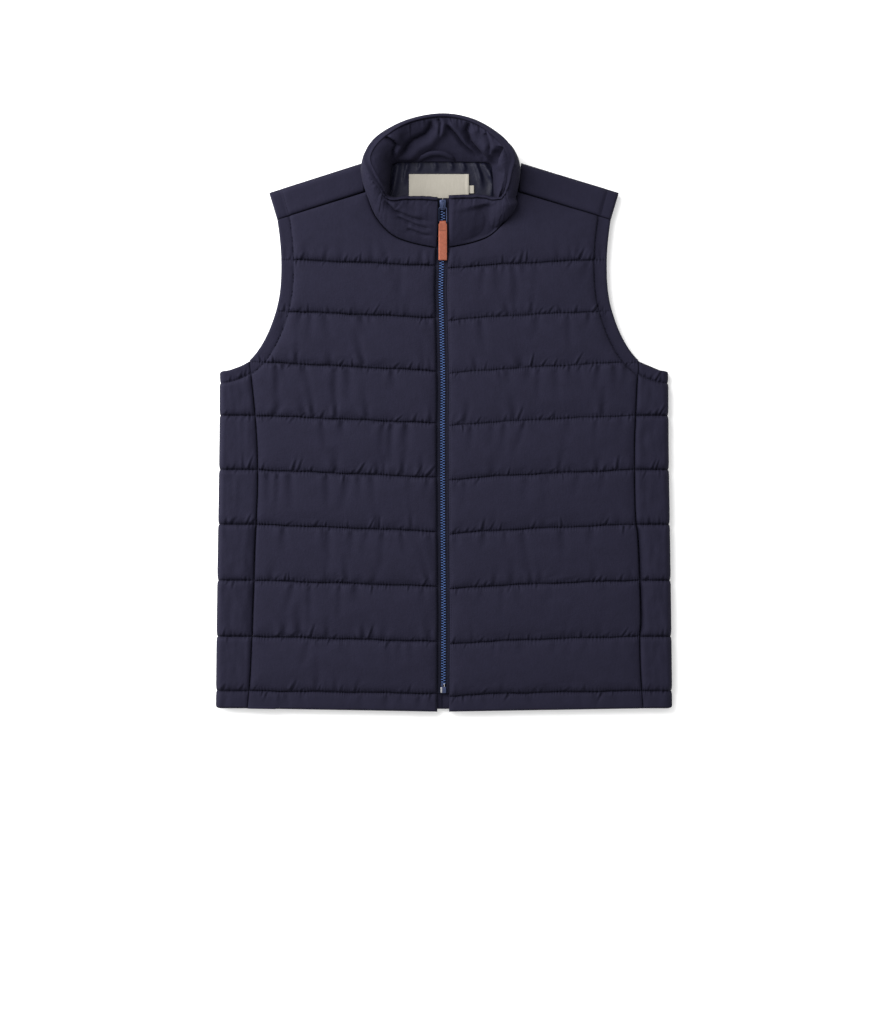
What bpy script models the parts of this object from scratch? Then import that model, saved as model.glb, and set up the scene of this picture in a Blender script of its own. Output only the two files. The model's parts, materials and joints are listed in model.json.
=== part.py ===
"""Quilted zip-front vest with a stand collar, laid out flat on its back.

Metres, +Z up. The vest lies on the plane z = 0 with its front upwards, the hem towards -Y and the collar
towards +Y. Left and right are as seen from above, so left is at -X. "Half" is the distance from the middle,
and "share" runs from 0 to 1 along or across a piece.
"""

import math

import bmesh
import bpy
import numpy as np
from mathutils.geometry import delaunay_2d_cdt

SIDES = {"left": -1, "right": 1}

# Layers of the laid-out vest
SEAM_GAP = 0.0003
BACK_THICKNESS = 0.0090
FRONT_FLOOR = BACK_THICKNESS + SEAM_GAP
AT_STITCH = 0.0024
AT_EDGE = 0.0042
AT_CROWN = 0.0120
BAND_FULLNESS = 0.65
SHOULDER_CROWN = 0.0095

# Spacing of points along curves, and the least distance of a point from the end of an edge
FINE = 0.0040
MEDIUM = 0.0090
COARSE = 0.0160
END_CLEAR = 0.0030
STEPS_IN_SPAN = 17
THIN_OUT = 3

# Rounded edges
ROUND_SEGMENTS = 2
ROUND_FROM = math.radians(30)

# Outline of the body, each row (half, towards the collar)
HEM_AT_ZIP = -0.3731
HEM_AT_SIDE = -0.3690
ARMHOLE = (
    (0.2180, 0.2735),
    (0.2088, 0.2455),
    (0.2030, 0.1950),
    (0.2050, 0.1456),
    (0.2163, 0.1056),
    (0.2325, 0.0756),
    (0.2506, 0.0592),
    (0.2795, 0.0515),
)
SIDE_SEAM = (
    (0.2420, 0.0648),
    (0.2375, 0.0000),
    (0.2360, -0.0660),
    (0.2400, -0.2080),
    (0.2462, HEM_AT_SIDE),
)
SIDE_FOLD = (
    (0.2795, 0.0515),
    (0.2800, -0.0450),
    (0.2825, -0.2100),
    (0.2845, HEM_AT_SIDE),
)
FOLD_RADIUS = 0.0075
FOLD_INNER = 0.0040
FOLD_NOTCH = 0.0012
FOLD_TURN = np.radians((30, 60, 90, 120, 150, 180))

# Shoulders: the fold from neck to tip, the forward seam, and how the back is carried round the fold
SHOULDER_AT_NECK = (0.0990, 0.3105)
SHOULDER_AT_TIP = (0.2180, 0.2735)
SHOULDER_SEAM_AT_ARM = (0.2076, 0.2390)
SHOULDER_SEAM_AT_NECK = 0.2740
SHOULDER_FOLD_RADIUS = 0.0085
SHOULDER_TUCK = 0.0120
SHOULDER_NECK_CLEAR = 0.0050
SHOULDER_SHARES = (0.0, 0.08, 0.22, 0.42, 0.62, 0.80, 0.92, 1.0)
SHOULDER_LEAF = (0.92, 0.75, 0.45)
SHOULDER_PUFF = 0.45
SHOULDER_TURN = np.radians((0, 30, 60, 90, 120, 150, 174))
LAYER_TUCK = 0.0004
LAYER_TURN = (0.0020, 0.0045)

# Back panel: its distance from the shoulder tip, the neck seam and the hem of the front
BACK_BELOW_TIP = 0.0140
BACK_IN_RIDGE = 0.0120
BACK_BELOW_NECK = 0.0022
BACK_ABOVE_HEM = 0.0030
BACK_SEAM_SPACING = 0.0300
BACK_ROUND = 0.0030

# Quilting stitch lines, each row (height at the zip, height at the side seam); the last is the hem stitch
QUILT = (
    (0.1831, 0.1929),
    (0.1181, 0.1285),
    (0.0519, 0.0639),
    (-0.0131, -0.0031),
    (-0.0806, -0.0706),
    (-0.1481, -0.1388),
    (-0.2169, -0.2088),
    (-0.2856, -0.2788),
    (-0.3506, -0.3469),
)
QUILT_SPAN = 0.2380
TOP_CHANNEL = 0.0620
SEAM_REACH = 0.0260
BAND = 0.0160
BAND_EDGE_LIFT = 0.0020
BAND_TAIL = 0.0120
# Stitch and edge of the armhole band on a side panel, each (height at the seam, height at the fold)
SIDE_BAND = ((0.0480, 0.0360), (0.0638, 0.0515))

# Where panels have their points, as shares of a channel's height and of a panel's width
ACROSS = (0.0, 0.07, 0.22, 0.5, 0.78, 0.93)
COLUMNS = (0.03, 0.08, 0.16, 0.27, 0.39, 0.51, 0.63, 0.75, 0.86, 0.94, 0.98)
SIDE_ACROSS = (0.0, 0.08, 0.24, 0.5, 0.76, 0.92)
SIDE_LEAF = (0.0, 0.1, 0.28, 0.6, 1.0)
OPEN_END_FULLNESS = 0.6

# Front opening and zip
ZIP_X = -0.0015
FRONT_EDGE = {"left": 0.0088, "right": 0.0058}
ZIP_TOP = 0.2650
ZIP_BOTTOM = -0.3500
TAPE_UP = 0.0008
TAPE_THICKNESS = 0.0010
CHAIN_WIDTH = 0.0055
CHAIN_THICKNESS = 0.0022
CHAIN_UP = TAPE_UP + TAPE_THICKNESS + SEAM_GAP
CHAIN_CLEAR = 0.0006
ZIP_LIFT = ((ZIP_BOTTOM, 0.0), (0.1900, 0.0), (0.2140, 0.0020), (0.2420, 0.0078), (ZIP_TOP, 0.0128))

# Stand collar from the zip to the middle of the back: seam rows (half from the middle of the neck, y, z)
NECK_X = -0.0030
NECK_CLEAR = 0.0016
COLLAR_SEAM = (
    (0.0000, 0.2060, 0.0130),
    (0.0400, 0.2120, 0.0132),
    (0.0636, 0.2230, 0.0138),
    (0.0825, 0.2460, 0.0150),
    (0.0915, 0.2730, 0.0155),
    (0.0930, 0.2960, 0.0125),
    (0.0845, 0.3135, 0.0085),
    (0.0450, 0.3165, 0.0065),
    (0.0000, 0.3175, 0.0062),
)
# Top edge of the collar on each side, rows (half, y, z) that go with those of the seam
COLLAR_EDGE = {
    "left": (
        (0.0000, 0.2660, 0.0262),
        (0.0400, 0.2672, 0.0290),
        (0.0668, 0.2652, 0.0340),
        (0.0772, 0.2770, 0.0440),
        (0.0892, 0.2950, 0.0515),
        (0.0942, 0.3140, 0.0520),
        (0.0785, 0.3380, 0.0455),
        (0.0442, 0.3598, 0.0365),
        (0.0015, 0.3684, 0.0330),
    ),
    "right": (
        (0.0000, 0.2672, 0.0262),
        (0.0400, 0.2690, 0.0290),
        (0.0680, 0.2656, 0.0340),
        (0.0752, 0.2770, 0.0440),
        (0.0792, 0.2950, 0.0500),
        (0.0825, 0.3140, 0.0515),
        (0.0690, 0.3362, 0.0455),
        (0.0375, 0.3598, 0.0365),
        (-0.0015, 0.3684, 0.0330),
    ),
}
COLLAR_BULGE = 0.0026
# Half thickness of the collar, each row (share of its height, half thickness)
COLLAR_WALL = (
    (0.00, 0.0012),
    (0.07, 0.0026),
    (0.26, 0.0042),
    (0.52, 0.0047),
    (0.78, 0.0038),
    (0.91, 0.0021),
    (0.96, 0.0025),
    (1.00, 0.0010),
)
COLLAR_STATIONS = 53

# What lies inside the neck
LINING_THICKNESS = 0.0010
LINING_LOWER = 0.2500
LINING_INSET = 0.0030
LINING_LOW = BACK_THICKNESS + SEAM_GAP
LINING_STATIONS = 61
LABEL_SIZE = (0.0750, 0.0400, 0.0008)
LABEL_AT = (-0.0062, 0.2780)
TAG_SIZE = (0.0066, 0.0076, 0.0007)
TAG_Y = 0.2795
LOOP_AT = (-0.0090, 0.3120)
# Hanger loop, each row (half span, away from the neck seam, height, strand radius)
LOOP = (
    (0.0220, 0.0000, 0.0124, 0.0016),
    (0.0175, 0.0045, 0.0185, 0.0026),
    (0.0080, 0.0085, 0.0218, 0.0027),
    (0.0000, 0.0092, 0.0223, 0.0027),
)
LOOP_SPACING = 0.0045
LOOP_SIDES = 8
LOOP_UP = (0, -0.66, 0.75)

# Pocket mouths in the side seams
POCKET_TOP = -0.1310
POCKET_BOTTOM = -0.2850
POCKET_OPEN = 0.0012
POCKET_TAPER = 0.0120
POCKET_LIP = 0.0048
POCKET_RINGS = 10

# Zip hardware
SLIDER_Y = 0.2568
SLIDER_SIZE = (0.0084, 0.0130, 0.0036)
SLIDER_ROUND = 0.0010
SLIDER_LIFT = 0.0001
SLOPE_STEP = 0.0040
BRIDGE_SIZE = (0.0026, 0.0096, 0.0034)
BRIDGE_WALL = 0.0009
BRIDGE_ROUND = 0.0008
BRIDGE_SINK = 0.0004
PIN_RADIUS = 0.0005
PIN_CLEAR = 0.0004
PIN_BACK = 0.0030
PULLER_WIDTH = 0.0104
PULLER_LENGTH = 0.0185
TAB_WIDTH = 0.0104
TAB_NECK_WIDTH = 0.0078
TAB_NECK_LENGTH = 0.0060
TAB_SHUT = 0.0090
TAB_LENGTH = 0.0465
TAB_LEAF = 0.0013
TAB_HOLE_CLEAR = 0.0003
TAB_REST_CLEAR = 0.0006
TAB_BEND_STEPS = 9
TAB_HOLE_STEPS = 10
BOX_SIZE = (0.0074, 0.0100, 0.0032)
BOX_ROUND = 0.0008

MATERIALS = {
    "shell": ((0.030, 0.028, 0.052), 0.75, 0.0),
    "lining": ((0.042, 0.045, 0.070), 0.45, 0.0),
    "label": ((0.80, 0.77, 0.68), 0.85, 0.0),
    "zip_tape": ((0.016, 0.018, 0.036), 0.85, 0.0),
    "zip_teeth": ((0.030, 0.075, 0.260), 0.40, 0.0),
    "zip_metal": ((0.090, 0.115, 0.230), 0.35, 0.9),
    "leather": ((0.430, 0.150, 0.070), 0.60, 0.0),
}


def spline(points, spacing):
    """Points about `spacing` apart along a smooth curve through the given points."""
    p = np.asarray(points, float)
    p = np.vstack([2 * p[0] - p[1], p, 2 * p[-1] - p[-2]])
    t = np.linspace(0, 1, STEPS_IN_SPAN)[:, None]
    fine = [p[1:2]]
    for a, b, c, d in zip(p, p[1:], p[2:], p[3:]):
        span = 2 * b + (c - a) * t + (2 * a - 5 * b + 4 * c - d) * t**2 + (3 * b - a - 3 * c + d) * t**3
        fine.append(0.5 * span[1:])
    fine = np.vstack(fine)
    along = travel(fine)
    at = np.linspace(0, along[-1], max(2, round(along[-1] / spacing) + 1))
    return np.stack([np.interp(at, along, fine[:, k]) for k in range(p.shape[1])], axis=1)


def travel(path):
    """How far along a path each of its points is."""
    return np.concatenate([[0], np.cumsum(np.linalg.norm(np.diff(path, axis=0), axis=1))])


def straight(start, end, spacing):
    """Points about `spacing` apart on a straight line."""
    start = np.asarray(start, float)
    end = np.asarray(end, float)
    count = max(2, round(np.linalg.norm(end - start) / spacing) + 1)
    return start + np.linspace(0, 1, count)[:, None] * (end - start)


def half_at(curve, y):
    """Half width at which a curve of (half, y) points passes the height y."""
    order = np.argsort(curve[:, 1])
    return np.interp(y, curve[order, 1], curve[order, 0])


def offset(curve, distance):
    """The curve moved sideways by a distance, to the right of its direction."""
    step = np.gradient(curve, axis=0)
    normal = np.stack([step[:, 1], -step[:, 0]], axis=1)
    return curve + distance * normal / np.linalg.norm(normal, axis=1, keepdims=True)


def distance_to(points, line):
    """Least distance of each point from a polyline."""
    best = np.full(len(points), np.inf)
    for a, b in zip(line, line[1:]):
        edge = b - a
        share = np.clip((points - a) @ edge / max(edge @ edge, 1e-12), 0, 1)
        best = np.minimum(best, np.linalg.norm(points - a - share[:, None] * edge, axis=1))
    return best


def inside(points, outline):
    """Which points lie inside a closed outline."""
    found = np.zeros(len(points), bool)
    x = points[:, 0]
    y = points[:, 1]
    for (ax, ay), (bx, by) in zip(outline, np.roll(outline, -1, axis=0)):
        if ay != by:
            crosses = (ay > y) != (by > y)
            found ^= crosses & (x < ax + (y - ay) / (by - ay) * (bx - ax))
    return found


def swell(distance, reach):
    """Rise of filled cloth from 0 at a stitch line to 1 at its reach."""
    return np.sqrt(1 - (1 - np.clip(distance / reach, 0, 1)) ** 2)


def quilt_at(half):
    """Heights of all quilting lines at the given half widths, one row for each line."""
    rows = np.asarray(QUILT)
    share = np.asarray(half) / QUILT_SPAN
    return rows[:, :1] + (rows[:, 1:] - rows[:, :1]) * share


def object_from(bm, name, material, folder):
    """A named object from a finished bmesh."""
    bmesh.ops.recalc_face_normals(bm, faces=bm.faces)
    mesh = bpy.data.meshes.new(name)
    bm.to_mesh(mesh)
    bm.free()
    mesh.materials.append(material)
    obj = bpy.data.objects.new(name, mesh)
    folder.objects.link(obj)
    return obj


def loft(rings):
    """A solid through rings of equally many points, with flat ends."""
    bm = bmesh.new()
    rows = [[bm.verts.new(p) for p in ring] for ring in rings]
    for lower, upper in zip(rows, rows[1:]):
        for k in range(len(lower)):
            n = (k + 1) % len(lower)
            bm.faces.new((lower[k], lower[n], upper[n], upper[k]))
    bm.faces.new(rows[0][::-1])
    bm.faces.new(rows[-1])
    return bm


def slab(outline, low, high):
    """A flat plate with the given outline."""
    return loft([[(x, y, z) for x, y in outline] for z in (low, high)])


def block(name, size, centre, material, folder):
    """A box of the given size about a centre."""
    bm = bmesh.new()
    bmesh.ops.create_cube(bm, size=1.0)
    for v in bm.verts:
        v.co = [v.co[k] * size[k] + centre[k] for k in range(3)]
    return object_from(bm, name, material, folder)


def bevelled(obj, width):
    """Rounds the edges of an object."""
    mod = obj.modifiers.new("round", "BEVEL")
    mod.width = width
    mod.segments = ROUND_SEGMENTS
    mod.limit_method = "ANGLE"
    mod.angle_limit = ROUND_FROM


def cut(obj, tool, operation):
    """Joins a tool to an object, or takes it away; the tool itself isn't shown."""
    tool.hide_render = True
    tool.display_type = "WIRE"
    mod = obj.modifiers.new(tool.name, "BOOLEAN")
    mod.operation = operation
    mod.solver = "EXACT"
    mod.object = tool


def neck_half(side, half):
    """Half width, from the middle of the hem, of a point given from the middle of the neck."""
    return SIDES[side] * NECK_X + half


def neckline(side, edge_half, spacing):
    """Front neckline from the shoulder seam to the front edge, as (half, y) points."""
    curve = spline(np.asarray(COLLAR_SEAM)[:5, :2], spacing / 4)
    curve[:, 0] = neck_half(side, curve[:, 0])
    outer = offset(curve, NECK_CLEAR)
    outer = outer[(outer[:, 0] > edge_half + FINE) & (outer[:, 1] < SHOULDER_SEAM_AT_NECK - FINE)]
    ends = np.array([[edge_half, outer[0, 1]], [outer[-1, 0], SHOULDER_SEAM_AT_NECK]])
    return spline(np.vstack([ends[:1], outer, ends[1:]])[::-1], spacing)


# Front panels

def quilt_rows():
    """Rows of points up a front panel from the hem: (height at the zip, height at the side seam)."""
    top = np.asarray(QUILT[0]) + TOP_CHANNEL
    marks = np.vstack([[(HEM_AT_ZIP, HEM_AT_SIDE)], QUILT[::-1], [top]])
    return np.array([low + share * (high - low) for low, high in zip(marks, marks[1:]) for share in ACROSS])


def pocket_mouth(y):
    """How open the pocket mouth is at heights along the side seam, from 0 to 1."""
    from_end = np.minimum(POCKET_TOP - y, y - POCKET_BOTTOM)
    return np.clip(from_end / POCKET_TAPER, 0, 1)


def front_panel(side):
    """Edge lines, outline and band stitch of one front panel, and the whole armhole, in (half, y)."""
    edge = FRONT_EDGE[side]
    rows = quilt_rows()
    neck = neckline(side, edge, MEDIUM)
    arm = spline(ARMHOLE, FINE)
    curve = spline(SIDE_SEAM, FINE)
    y = rows[(rows[:, 1] > HEM_AT_SIDE) & (rows[:, 1] < curve[0, 1] - END_CLEAR), 1]
    seam = np.vstack([curve[-1:], np.stack([half_at(curve, y), y], axis=1), curve[:1]])
    seam[:, 0] -= SEAM_GAP / 2 + POCKET_OPEN * pocket_mouth(seam[:, 1])
    free = (arm[:, 1] > curve[0, 1] + FINE) & (arm[:, 1] < SHOULDER_SEAM_AT_ARM[1] - FINE)
    hem_half = edge + np.array((0.0, *COLUMNS, 1.0)) * (seam[0, 0] - edge)
    hem_y = HEM_AT_ZIP + (HEM_AT_SIDE - HEM_AT_ZIP) * (hem_half - edge) / (seam[0, 0] - edge)
    zip_y = rows[:, 0] + (rows[:, 1] - rows[:, 0]) * edge / QUILT_SPAN
    zip_y = zip_y[(zip_y > HEM_AT_ZIP + SEAM_GAP) & (zip_y < neck[-1, 1] - END_CLEAR)][::-1]
    lines = {
        "hem": np.stack([hem_half, hem_y], axis=1),
        "seam": seam,
        "arm": np.vstack([seam[-1:], arm[free][::-THIN_OUT], [SHOULDER_SEAM_AT_ARM]]),
        "shoulder": straight(SHOULDER_SEAM_AT_ARM, neck[0], COARSE),
        "neck": neck,
        "zip": np.vstack([neck[-1:], np.stack([0 * zip_y + edge, zip_y], axis=1), [(edge, HEM_AT_ZIP)]]),
    }
    outline = np.vstack([line[:-1] for line in lines.values()])
    return lines, outline, offset(arm, BAND), arm


def front_height(points, lines, band, arm):
    """Thickness of a front panel at each (half, y) point."""
    rows = quilt_at(points[:, 0])
    y = points[:, 1]
    above = np.where(rows >= y, rows - y, np.inf).min(axis=0)
    below = np.where(rows < y, y - rows, np.inf).min(axis=0)
    top = distance_to(points, np.vstack([lines["shoulder"], lines["neck"]]))
    above = np.where(np.isinf(above), top, above)
    below = np.where(np.isinf(below), distance_to(points, lines["hem"]), below)
    across = np.sqrt(np.clip(4 * above * below, 0, None)) / np.maximum(above + below, 1e-9)
    to_arm = distance_to(points, arm)
    to_band = distance_to(points, band)
    in_band = to_arm < BAND
    reach = np.where(in_band, BAND / 2, SEAM_REACH)
    along = swell(to_band, reach) * np.where(in_band, swell(to_arm + BAND_EDGE_LIFT, BAND / 2), 1)
    along = along * swell(distance_to(points, lines["zip"]), SEAM_REACH)
    along = along * np.where(in_band, 1, swell(distance_to(points, lines["seam"]), SEAM_REACH))
    crown = np.where(in_band, BAND_FULLNESS, 1.0) * (AT_CROWN - AT_EDGE)
    return AT_STITCH + across * (AT_EDGE - AT_STITCH + crown * along)


def front(side, material, folder):
    """One padded front panel: a flat underside with quilted channels raised over it."""
    lines, outline, band, arm = front_panel(side)
    edge = FRONT_EDGE[side]
    rim = np.vstack([outline, outline[:1]])
    stitch = band[inside(band, outline)][::THIN_OUT]
    loose = [offset(arm, BAND / 2)[::THIN_OUT]]
    runs = [stitch]
    for n, row in enumerate(quilt_rows()):
        outer = min(half_at(band, row.mean()), half_at(lines["seam"], row.mean()))
        half = edge + np.asarray(COLUMNS) * (outer - edge)
        points = np.stack([half, row[0] + (row[1] - row[0]) * half / QUILT_SPAN], axis=1)
        if n % len(ACROSS) == 0 and n > 0:
            end = min(half_at(arm, row[1]), half_at(lines["seam"], row[1]))
            tail = np.array([[(outer + end) / 2, row[1]], [end - END_CLEAR, row[1]]])
            points = np.vstack([points, tail]) if end > outer + BAND_TAIL else points
            runs.append(points[inside(points, outline)])
        else:
            loose.append(points)
    loose = np.vstack(loose)
    clear = np.minimum(distance_to(loose, rim), distance_to(loose, stitch))
    loose = loose[inside(loose, outline) & (clear > END_CLEAR)]
    flat = [outline]
    stitches = []
    for run in runs:
        first = sum(len(part) for part in flat)
        stitches += [(first + k, first + k + 1) for k in range(len(run) - 1)]
        flat.append(run)
    flat = np.vstack(flat + [loose])
    cdt = delaunay_2d_cdt([tuple(p) for p in flat], stitches, [list(range(len(outline)))], 1, 1e-6)
    points = np.array([tuple(p) for p in cdt[0]])
    height = FRONT_FLOOR + front_height(points, lines, band, arm)
    bm = bmesh.new()
    verts = [bm.verts.new((SIDES[side] * p[0], p[1], z)) for p, z in zip(points, height)]
    for face in cdt[2]:
        bm.faces.new([verts[k] for k in face])
    close_below(bm, FRONT_FLOOR)
    return object_from(bm, "front_" + side, material, folder)


def close_below(bm, floor):
    """Carries the rim of an open sheet down to a level and closes it there with one flat face."""
    rim = [e for e in bm.edges if e.is_boundary]
    added = bmesh.ops.extrude_edge_only(bm, edges=rim)["geom"]
    for v in added:
        if isinstance(v, bmesh.types.BMVert):
            v.co.z = floor
    bmesh.ops.edgeloop_fill(bm, edges=[e for e in bm.edges if e.is_boundary])


# Side panels

def side_panel(side, material, folder):
    """One side panel folded round the side edge, as rings from the hem to the armhole."""
    seam = spline(SIDE_SEAM, FINE)
    fold = spline(SIDE_FOLD, FINE)
    marks = [(HEM_AT_SIDE, HEM_AT_SIDE)] + [(row[1], row[1]) for row in QUILT[:2:-1]] + list(SIDE_BAND)
    rings = []
    for n, (low, high) in enumerate(zip(marks, marks[1:])):
        first = n == 0
        last = n == len(marks) - 2
        crown = BAND_FULLNESS if first or last else 1.0
        for share in SIDE_ACROSS + ((1.0,) if last else ()):
            seam_y = low[0] + share * (high[0] - low[0])
            fold_y = low[1] + share * (high[1] - low[1])
            across = 2 * math.sqrt(share * (1 - share))
            if (first and share < 0.5) or (last and share > 0.5):
                across = max(across, OPEN_END_FULLNESS)
            section = side_section(half_at(seam, seam_y), half_at(fold, fold_y), across, crown)
            start = section[0][0]
            width = max(half for half, z in section) - start
            rings.append([(SIDES[side] * half, seam_y + (half - start) / width * (fold_y - seam_y), z)
                          for half, z in section])
    return object_from(loft(rings), "side_" + side, material, folder)


def side_section(seam_half, fold_half, across, crown):
    """Section of a side panel as a closed ring of (half, z): front leaf, fold and back leaf."""
    start = seam_half + SEAM_GAP / 2
    end = fold_half - FOLD_NOTCH * (1 - across)
    bend = end - FOLD_RADIUS
    width = bend - start
    leaf = [(start, FRONT_FLOOR)]
    for share in SIDE_LEAF:
        along = float(swell(share * width, SEAM_REACH))
        thick = AT_STITCH + across * (AT_EDGE - AT_STITCH + crown * (AT_CROWN - AT_EDGE) * along)
        leaf.append((start + share * width, FRONT_FLOOR + thick))
    middle = leaf[-1][1] / 2
    turn = [(bend + FOLD_RADIUS * math.sin(a), middle + middle * math.cos(a))
            for a in FOLD_TURN]
    back_leaf = [(start, 0.0), (start, BACK_THICKNESS), (bend, BACK_THICKNESS)]
    inner_turn = [(end - FOLD_INNER, BACK_THICKNESS + SEAM_GAP / 2), (bend, FRONT_FLOOR)]
    return leaf + turn + back_leaf + inner_turn


# Back panel

def shoulder(side):
    """Part of the back that is carried over one shoulder to the forward seam, as a folded solid."""
    neck_end = np.array([neck_half(side, COLLAR_SEAM[4][0]) + SHOULDER_NECK_CLEAR, SHOULDER_SEAM_AT_NECK])
    arm_end = np.asarray(SHOULDER_SEAM_AT_ARM)
    tip = np.asarray(SHOULDER_AT_TIP)
    root = np.array([neck_half(side, SHOULDER_AT_NECK[0]), SHOULDER_AT_NECK[1]])
    radius = SHOULDER_FOLD_RADIUS
    rings = []
    for share in SHOULDER_SHARES:
        top = root + share * (tip - root)
        foot = neck_end + share * (arm_end - neck_end)
        direction = (foot - top) / np.linalg.norm(foot - top)
        length = np.linalg.norm(foot - top) - SEAM_GAP
        puff = SHOULDER_PUFF + (1 - SHOULDER_PUFF) * math.sqrt(1 - (2 * share - 1) ** 2)
        crown = AT_EDGE + puff * (SHOULDER_CROWN - AT_EDGE)
        middle = (FRONT_FLOOR + crown) / 2
        section = [(length, FRONT_FLOOR), (length, FRONT_FLOOR + AT_STITCH)]
        for step in SHOULDER_LEAF:
            at = radius + step * (length - radius)
            lift = float(swell(length - at, length - radius))
            section.append((at, FRONT_FLOOR + AT_STITCH + lift * (crown - AT_STITCH)))
        section += [(radius - radius * math.sin(a), middle + middle * math.cos(a))
                    for a in SHOULDER_TURN]
        inner = BACK_THICKNESS - LAYER_TUCK
        section += [(radius + SHOULDER_TUCK, LAYER_TUCK), (radius + SHOULDER_TUCK, inner)]
        section += [(radius - LAYER_TURN[0], inner)]
        section += [(radius - LAYER_TURN[1], BACK_THICKNESS), (radius - LAYER_TURN[0], FRONT_FLOOR)]
        places = [(top + s * direction, z) for s, z in section]
        rings.append([(SIDES[side] * p[0], p[1], z) for p, z in places])
    return loft(rings)


def back(material, folder, tools):
    """The back: a flat padded panel joined to its two parts that go over the shoulders."""
    arm = spline(ARMHOLE, MEDIUM)
    seam = spline(SIDE_SEAM, BACK_SEAM_SPACING) - [SEAM_GAP / 2, 0]
    arm = arm[(arm[:, 1] > seam[0, 1] + FINE) & (arm[:, 1] < SHOULDER_AT_TIP[1] - BACK_BELOW_TIP)]
    hem = [[0, HEM_AT_ZIP + BACK_ABOVE_HEM]]
    halves = {}
    for side in SIDES:
        root = np.array([neck_half(side, SHOULDER_AT_NECK[0]), SHOULDER_AT_NECK[1]])
        along = np.asarray(SHOULDER_AT_TIP) - root
        inward = np.array([along[1], -along[0]]) / np.linalg.norm(along) * SHOULDER_FOLD_RADIUS
        ridge = np.vstack([np.asarray(SHOULDER_AT_TIP) + inward - [SEAM_GAP, 0], root + inward])
        neck = spline(np.asarray(COLLAR_SEAM)[5:, :2], COARSE)
        neck[:, 0] = neck_half(side, neck[:, 0])
        neck = neck[neck[:, 0] < ridge[1, 0] - BACK_IN_RIDGE] - [0, BACK_BELOW_NECK]
        halves[side] = np.vstack([hem, seam[::-1], arm[::-1], ridge, neck])
    left = halves["left"][1:] * [-1, 1]
    outline = np.vstack([halves["right"], left[::-1]])
    keep = np.linalg.norm(outline - np.roll(outline, 1, axis=0), axis=1) > SEAM_GAP
    obj = object_from(slab(outline[keep], 0.0, BACK_THICKNESS), "back", material, folder)
    bevelled(obj, BACK_ROUND)
    for side in SIDES:
        cut(obj, object_from(shoulder(side), "shoulder_" + side, material, tools), "UNION")
    return obj


# Collar, and what lies inside the neck

def collar_stations(count):
    """Seam and top-edge points of the collar from the left front edge round the back to the right one."""
    runs = {}
    for side, sign in SIDES.items():
        run = spline(np.column_stack([COLLAR_SEAM, COLLAR_EDGE[side]]), FINE / 2)
        start = FRONT_EDGE[side] - sign * NECK_X
        run = run[np.argmax(run[:, 0] > start + SEAM_GAP):]
        run = np.vstack([run[:1], run])
        run[0, [0, 3]] = start, FRONT_EDGE[side]
        run[:, 0] = NECK_X + sign * run[:, 0]
        run[:, 3] = sign * run[:, 3]
        runs[side] = run
    ring = np.vstack([runs["left"], runs["right"][::-1][1:]])
    along = travel(ring[:, :3])
    at = np.linspace(0, along[-1], count)
    ring = np.stack([np.interp(at, along, ring[:, k]) for k in range(6)], axis=1)
    return ring[:, :3], ring[:, 3:]


def collar(material, folder):
    """The padded stand collar: a ring of sections from seam to top edge, open at the zip."""
    seam, edge = collar_stations(COLLAR_STATIONS)
    tangent = np.gradient(0.5 * (seam + edge), axis=0)
    tangent[[0, -1]] = (-1, 0, 0)
    tangent /= np.linalg.norm(tangent, axis=1, keepdims=True)
    up = edge - seam
    outward = np.cross(up, tangent)
    outward /= np.linalg.norm(outward, axis=1, keepdims=True)
    wall = list(COLLAR_WALL) + [(share, -half) for share, half in COLLAR_WALL[::-1]]
    rings = [[foot + share * rise + out * (half + COLLAR_BULGE * math.sin(math.pi * share))
              for share, half in wall] for foot, rise, out in zip(seam, up, outward)]
    return object_from(loft(rings), "collar", material, folder)


def lining(material, folder):
    """Satin lining of the back neck, only where it shows inside the collar."""
    seam = offset(collar_stations(LINING_STATIONS)[0][:, :2], LINING_INSET)
    seam = seam[seam[:, 1] > LINING_LOWER]
    plate = slab(seam[::-1], LINING_LOW, LINING_LOW + LINING_THICKNESS)
    return object_from(plate, "lining_back", material, folder)


def hanger_loop(material, folder):
    """The loop in the back neck seam: a round strand that arches up from the seam."""
    rows = np.asarray(LOOP)
    path = spline(np.vstack([rows * [-1, 1, 1, 1], rows[::-1][1:]]), LOOP_SPACING)
    centre = path[:, :3] + [*LOOP_AT, 0]
    tangent = np.gradient(centre, axis=0)
    tangent /= np.linalg.norm(tangent, axis=1, keepdims=True)
    rings = []
    for at, along, radius in zip(centre, tangent, path[:, 3]):
        first = np.cross(along, LOOP_UP)
        first /= np.linalg.norm(first)
        second = np.cross(along, first)
        rings.append([at + radius * (math.cos(a) * first + math.sin(a) * second)
                      for a in np.linspace(0, 2 * math.pi, LOOP_SIDES, endpoint=False)])
    return object_from(loft(rings), "hanger_loop", material, folder)


def pocket_edge(side, material, folder):
    """Turned edge that shows in the mouth of the pocket in a side seam."""
    seam = spline(SIDE_SEAM, FINE)
    low = POCKET_BOTTOM + POCKET_TAPER + END_CLEAR
    high = POCKET_TOP - POCKET_TAPER - END_CLEAR
    top = FRONT_FLOOR + POCKET_LIP
    rings = []
    for y in np.linspace(low, high, POCKET_RINGS):
        outer = half_at(seam, y) - SEAM_GAP / 2
        inner = outer + SEAM_GAP - POCKET_OPEN
        section = ((inner, FRONT_FLOOR), (outer, FRONT_FLOOR), (outer, top), (inner, top))
        rings.append([(SIDES[side] * half, y, z) for half, z in section])
    return object_from(loft(rings), "pocket_edge_" + side, material, folder)


# Zip

def zip_lift(y):
    """How far the zip stands up with the collar at a height along it."""
    rows = np.asarray(ZIP_LIFT)
    return np.interp(y, rows[:, 0], rows[:, 1])


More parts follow.
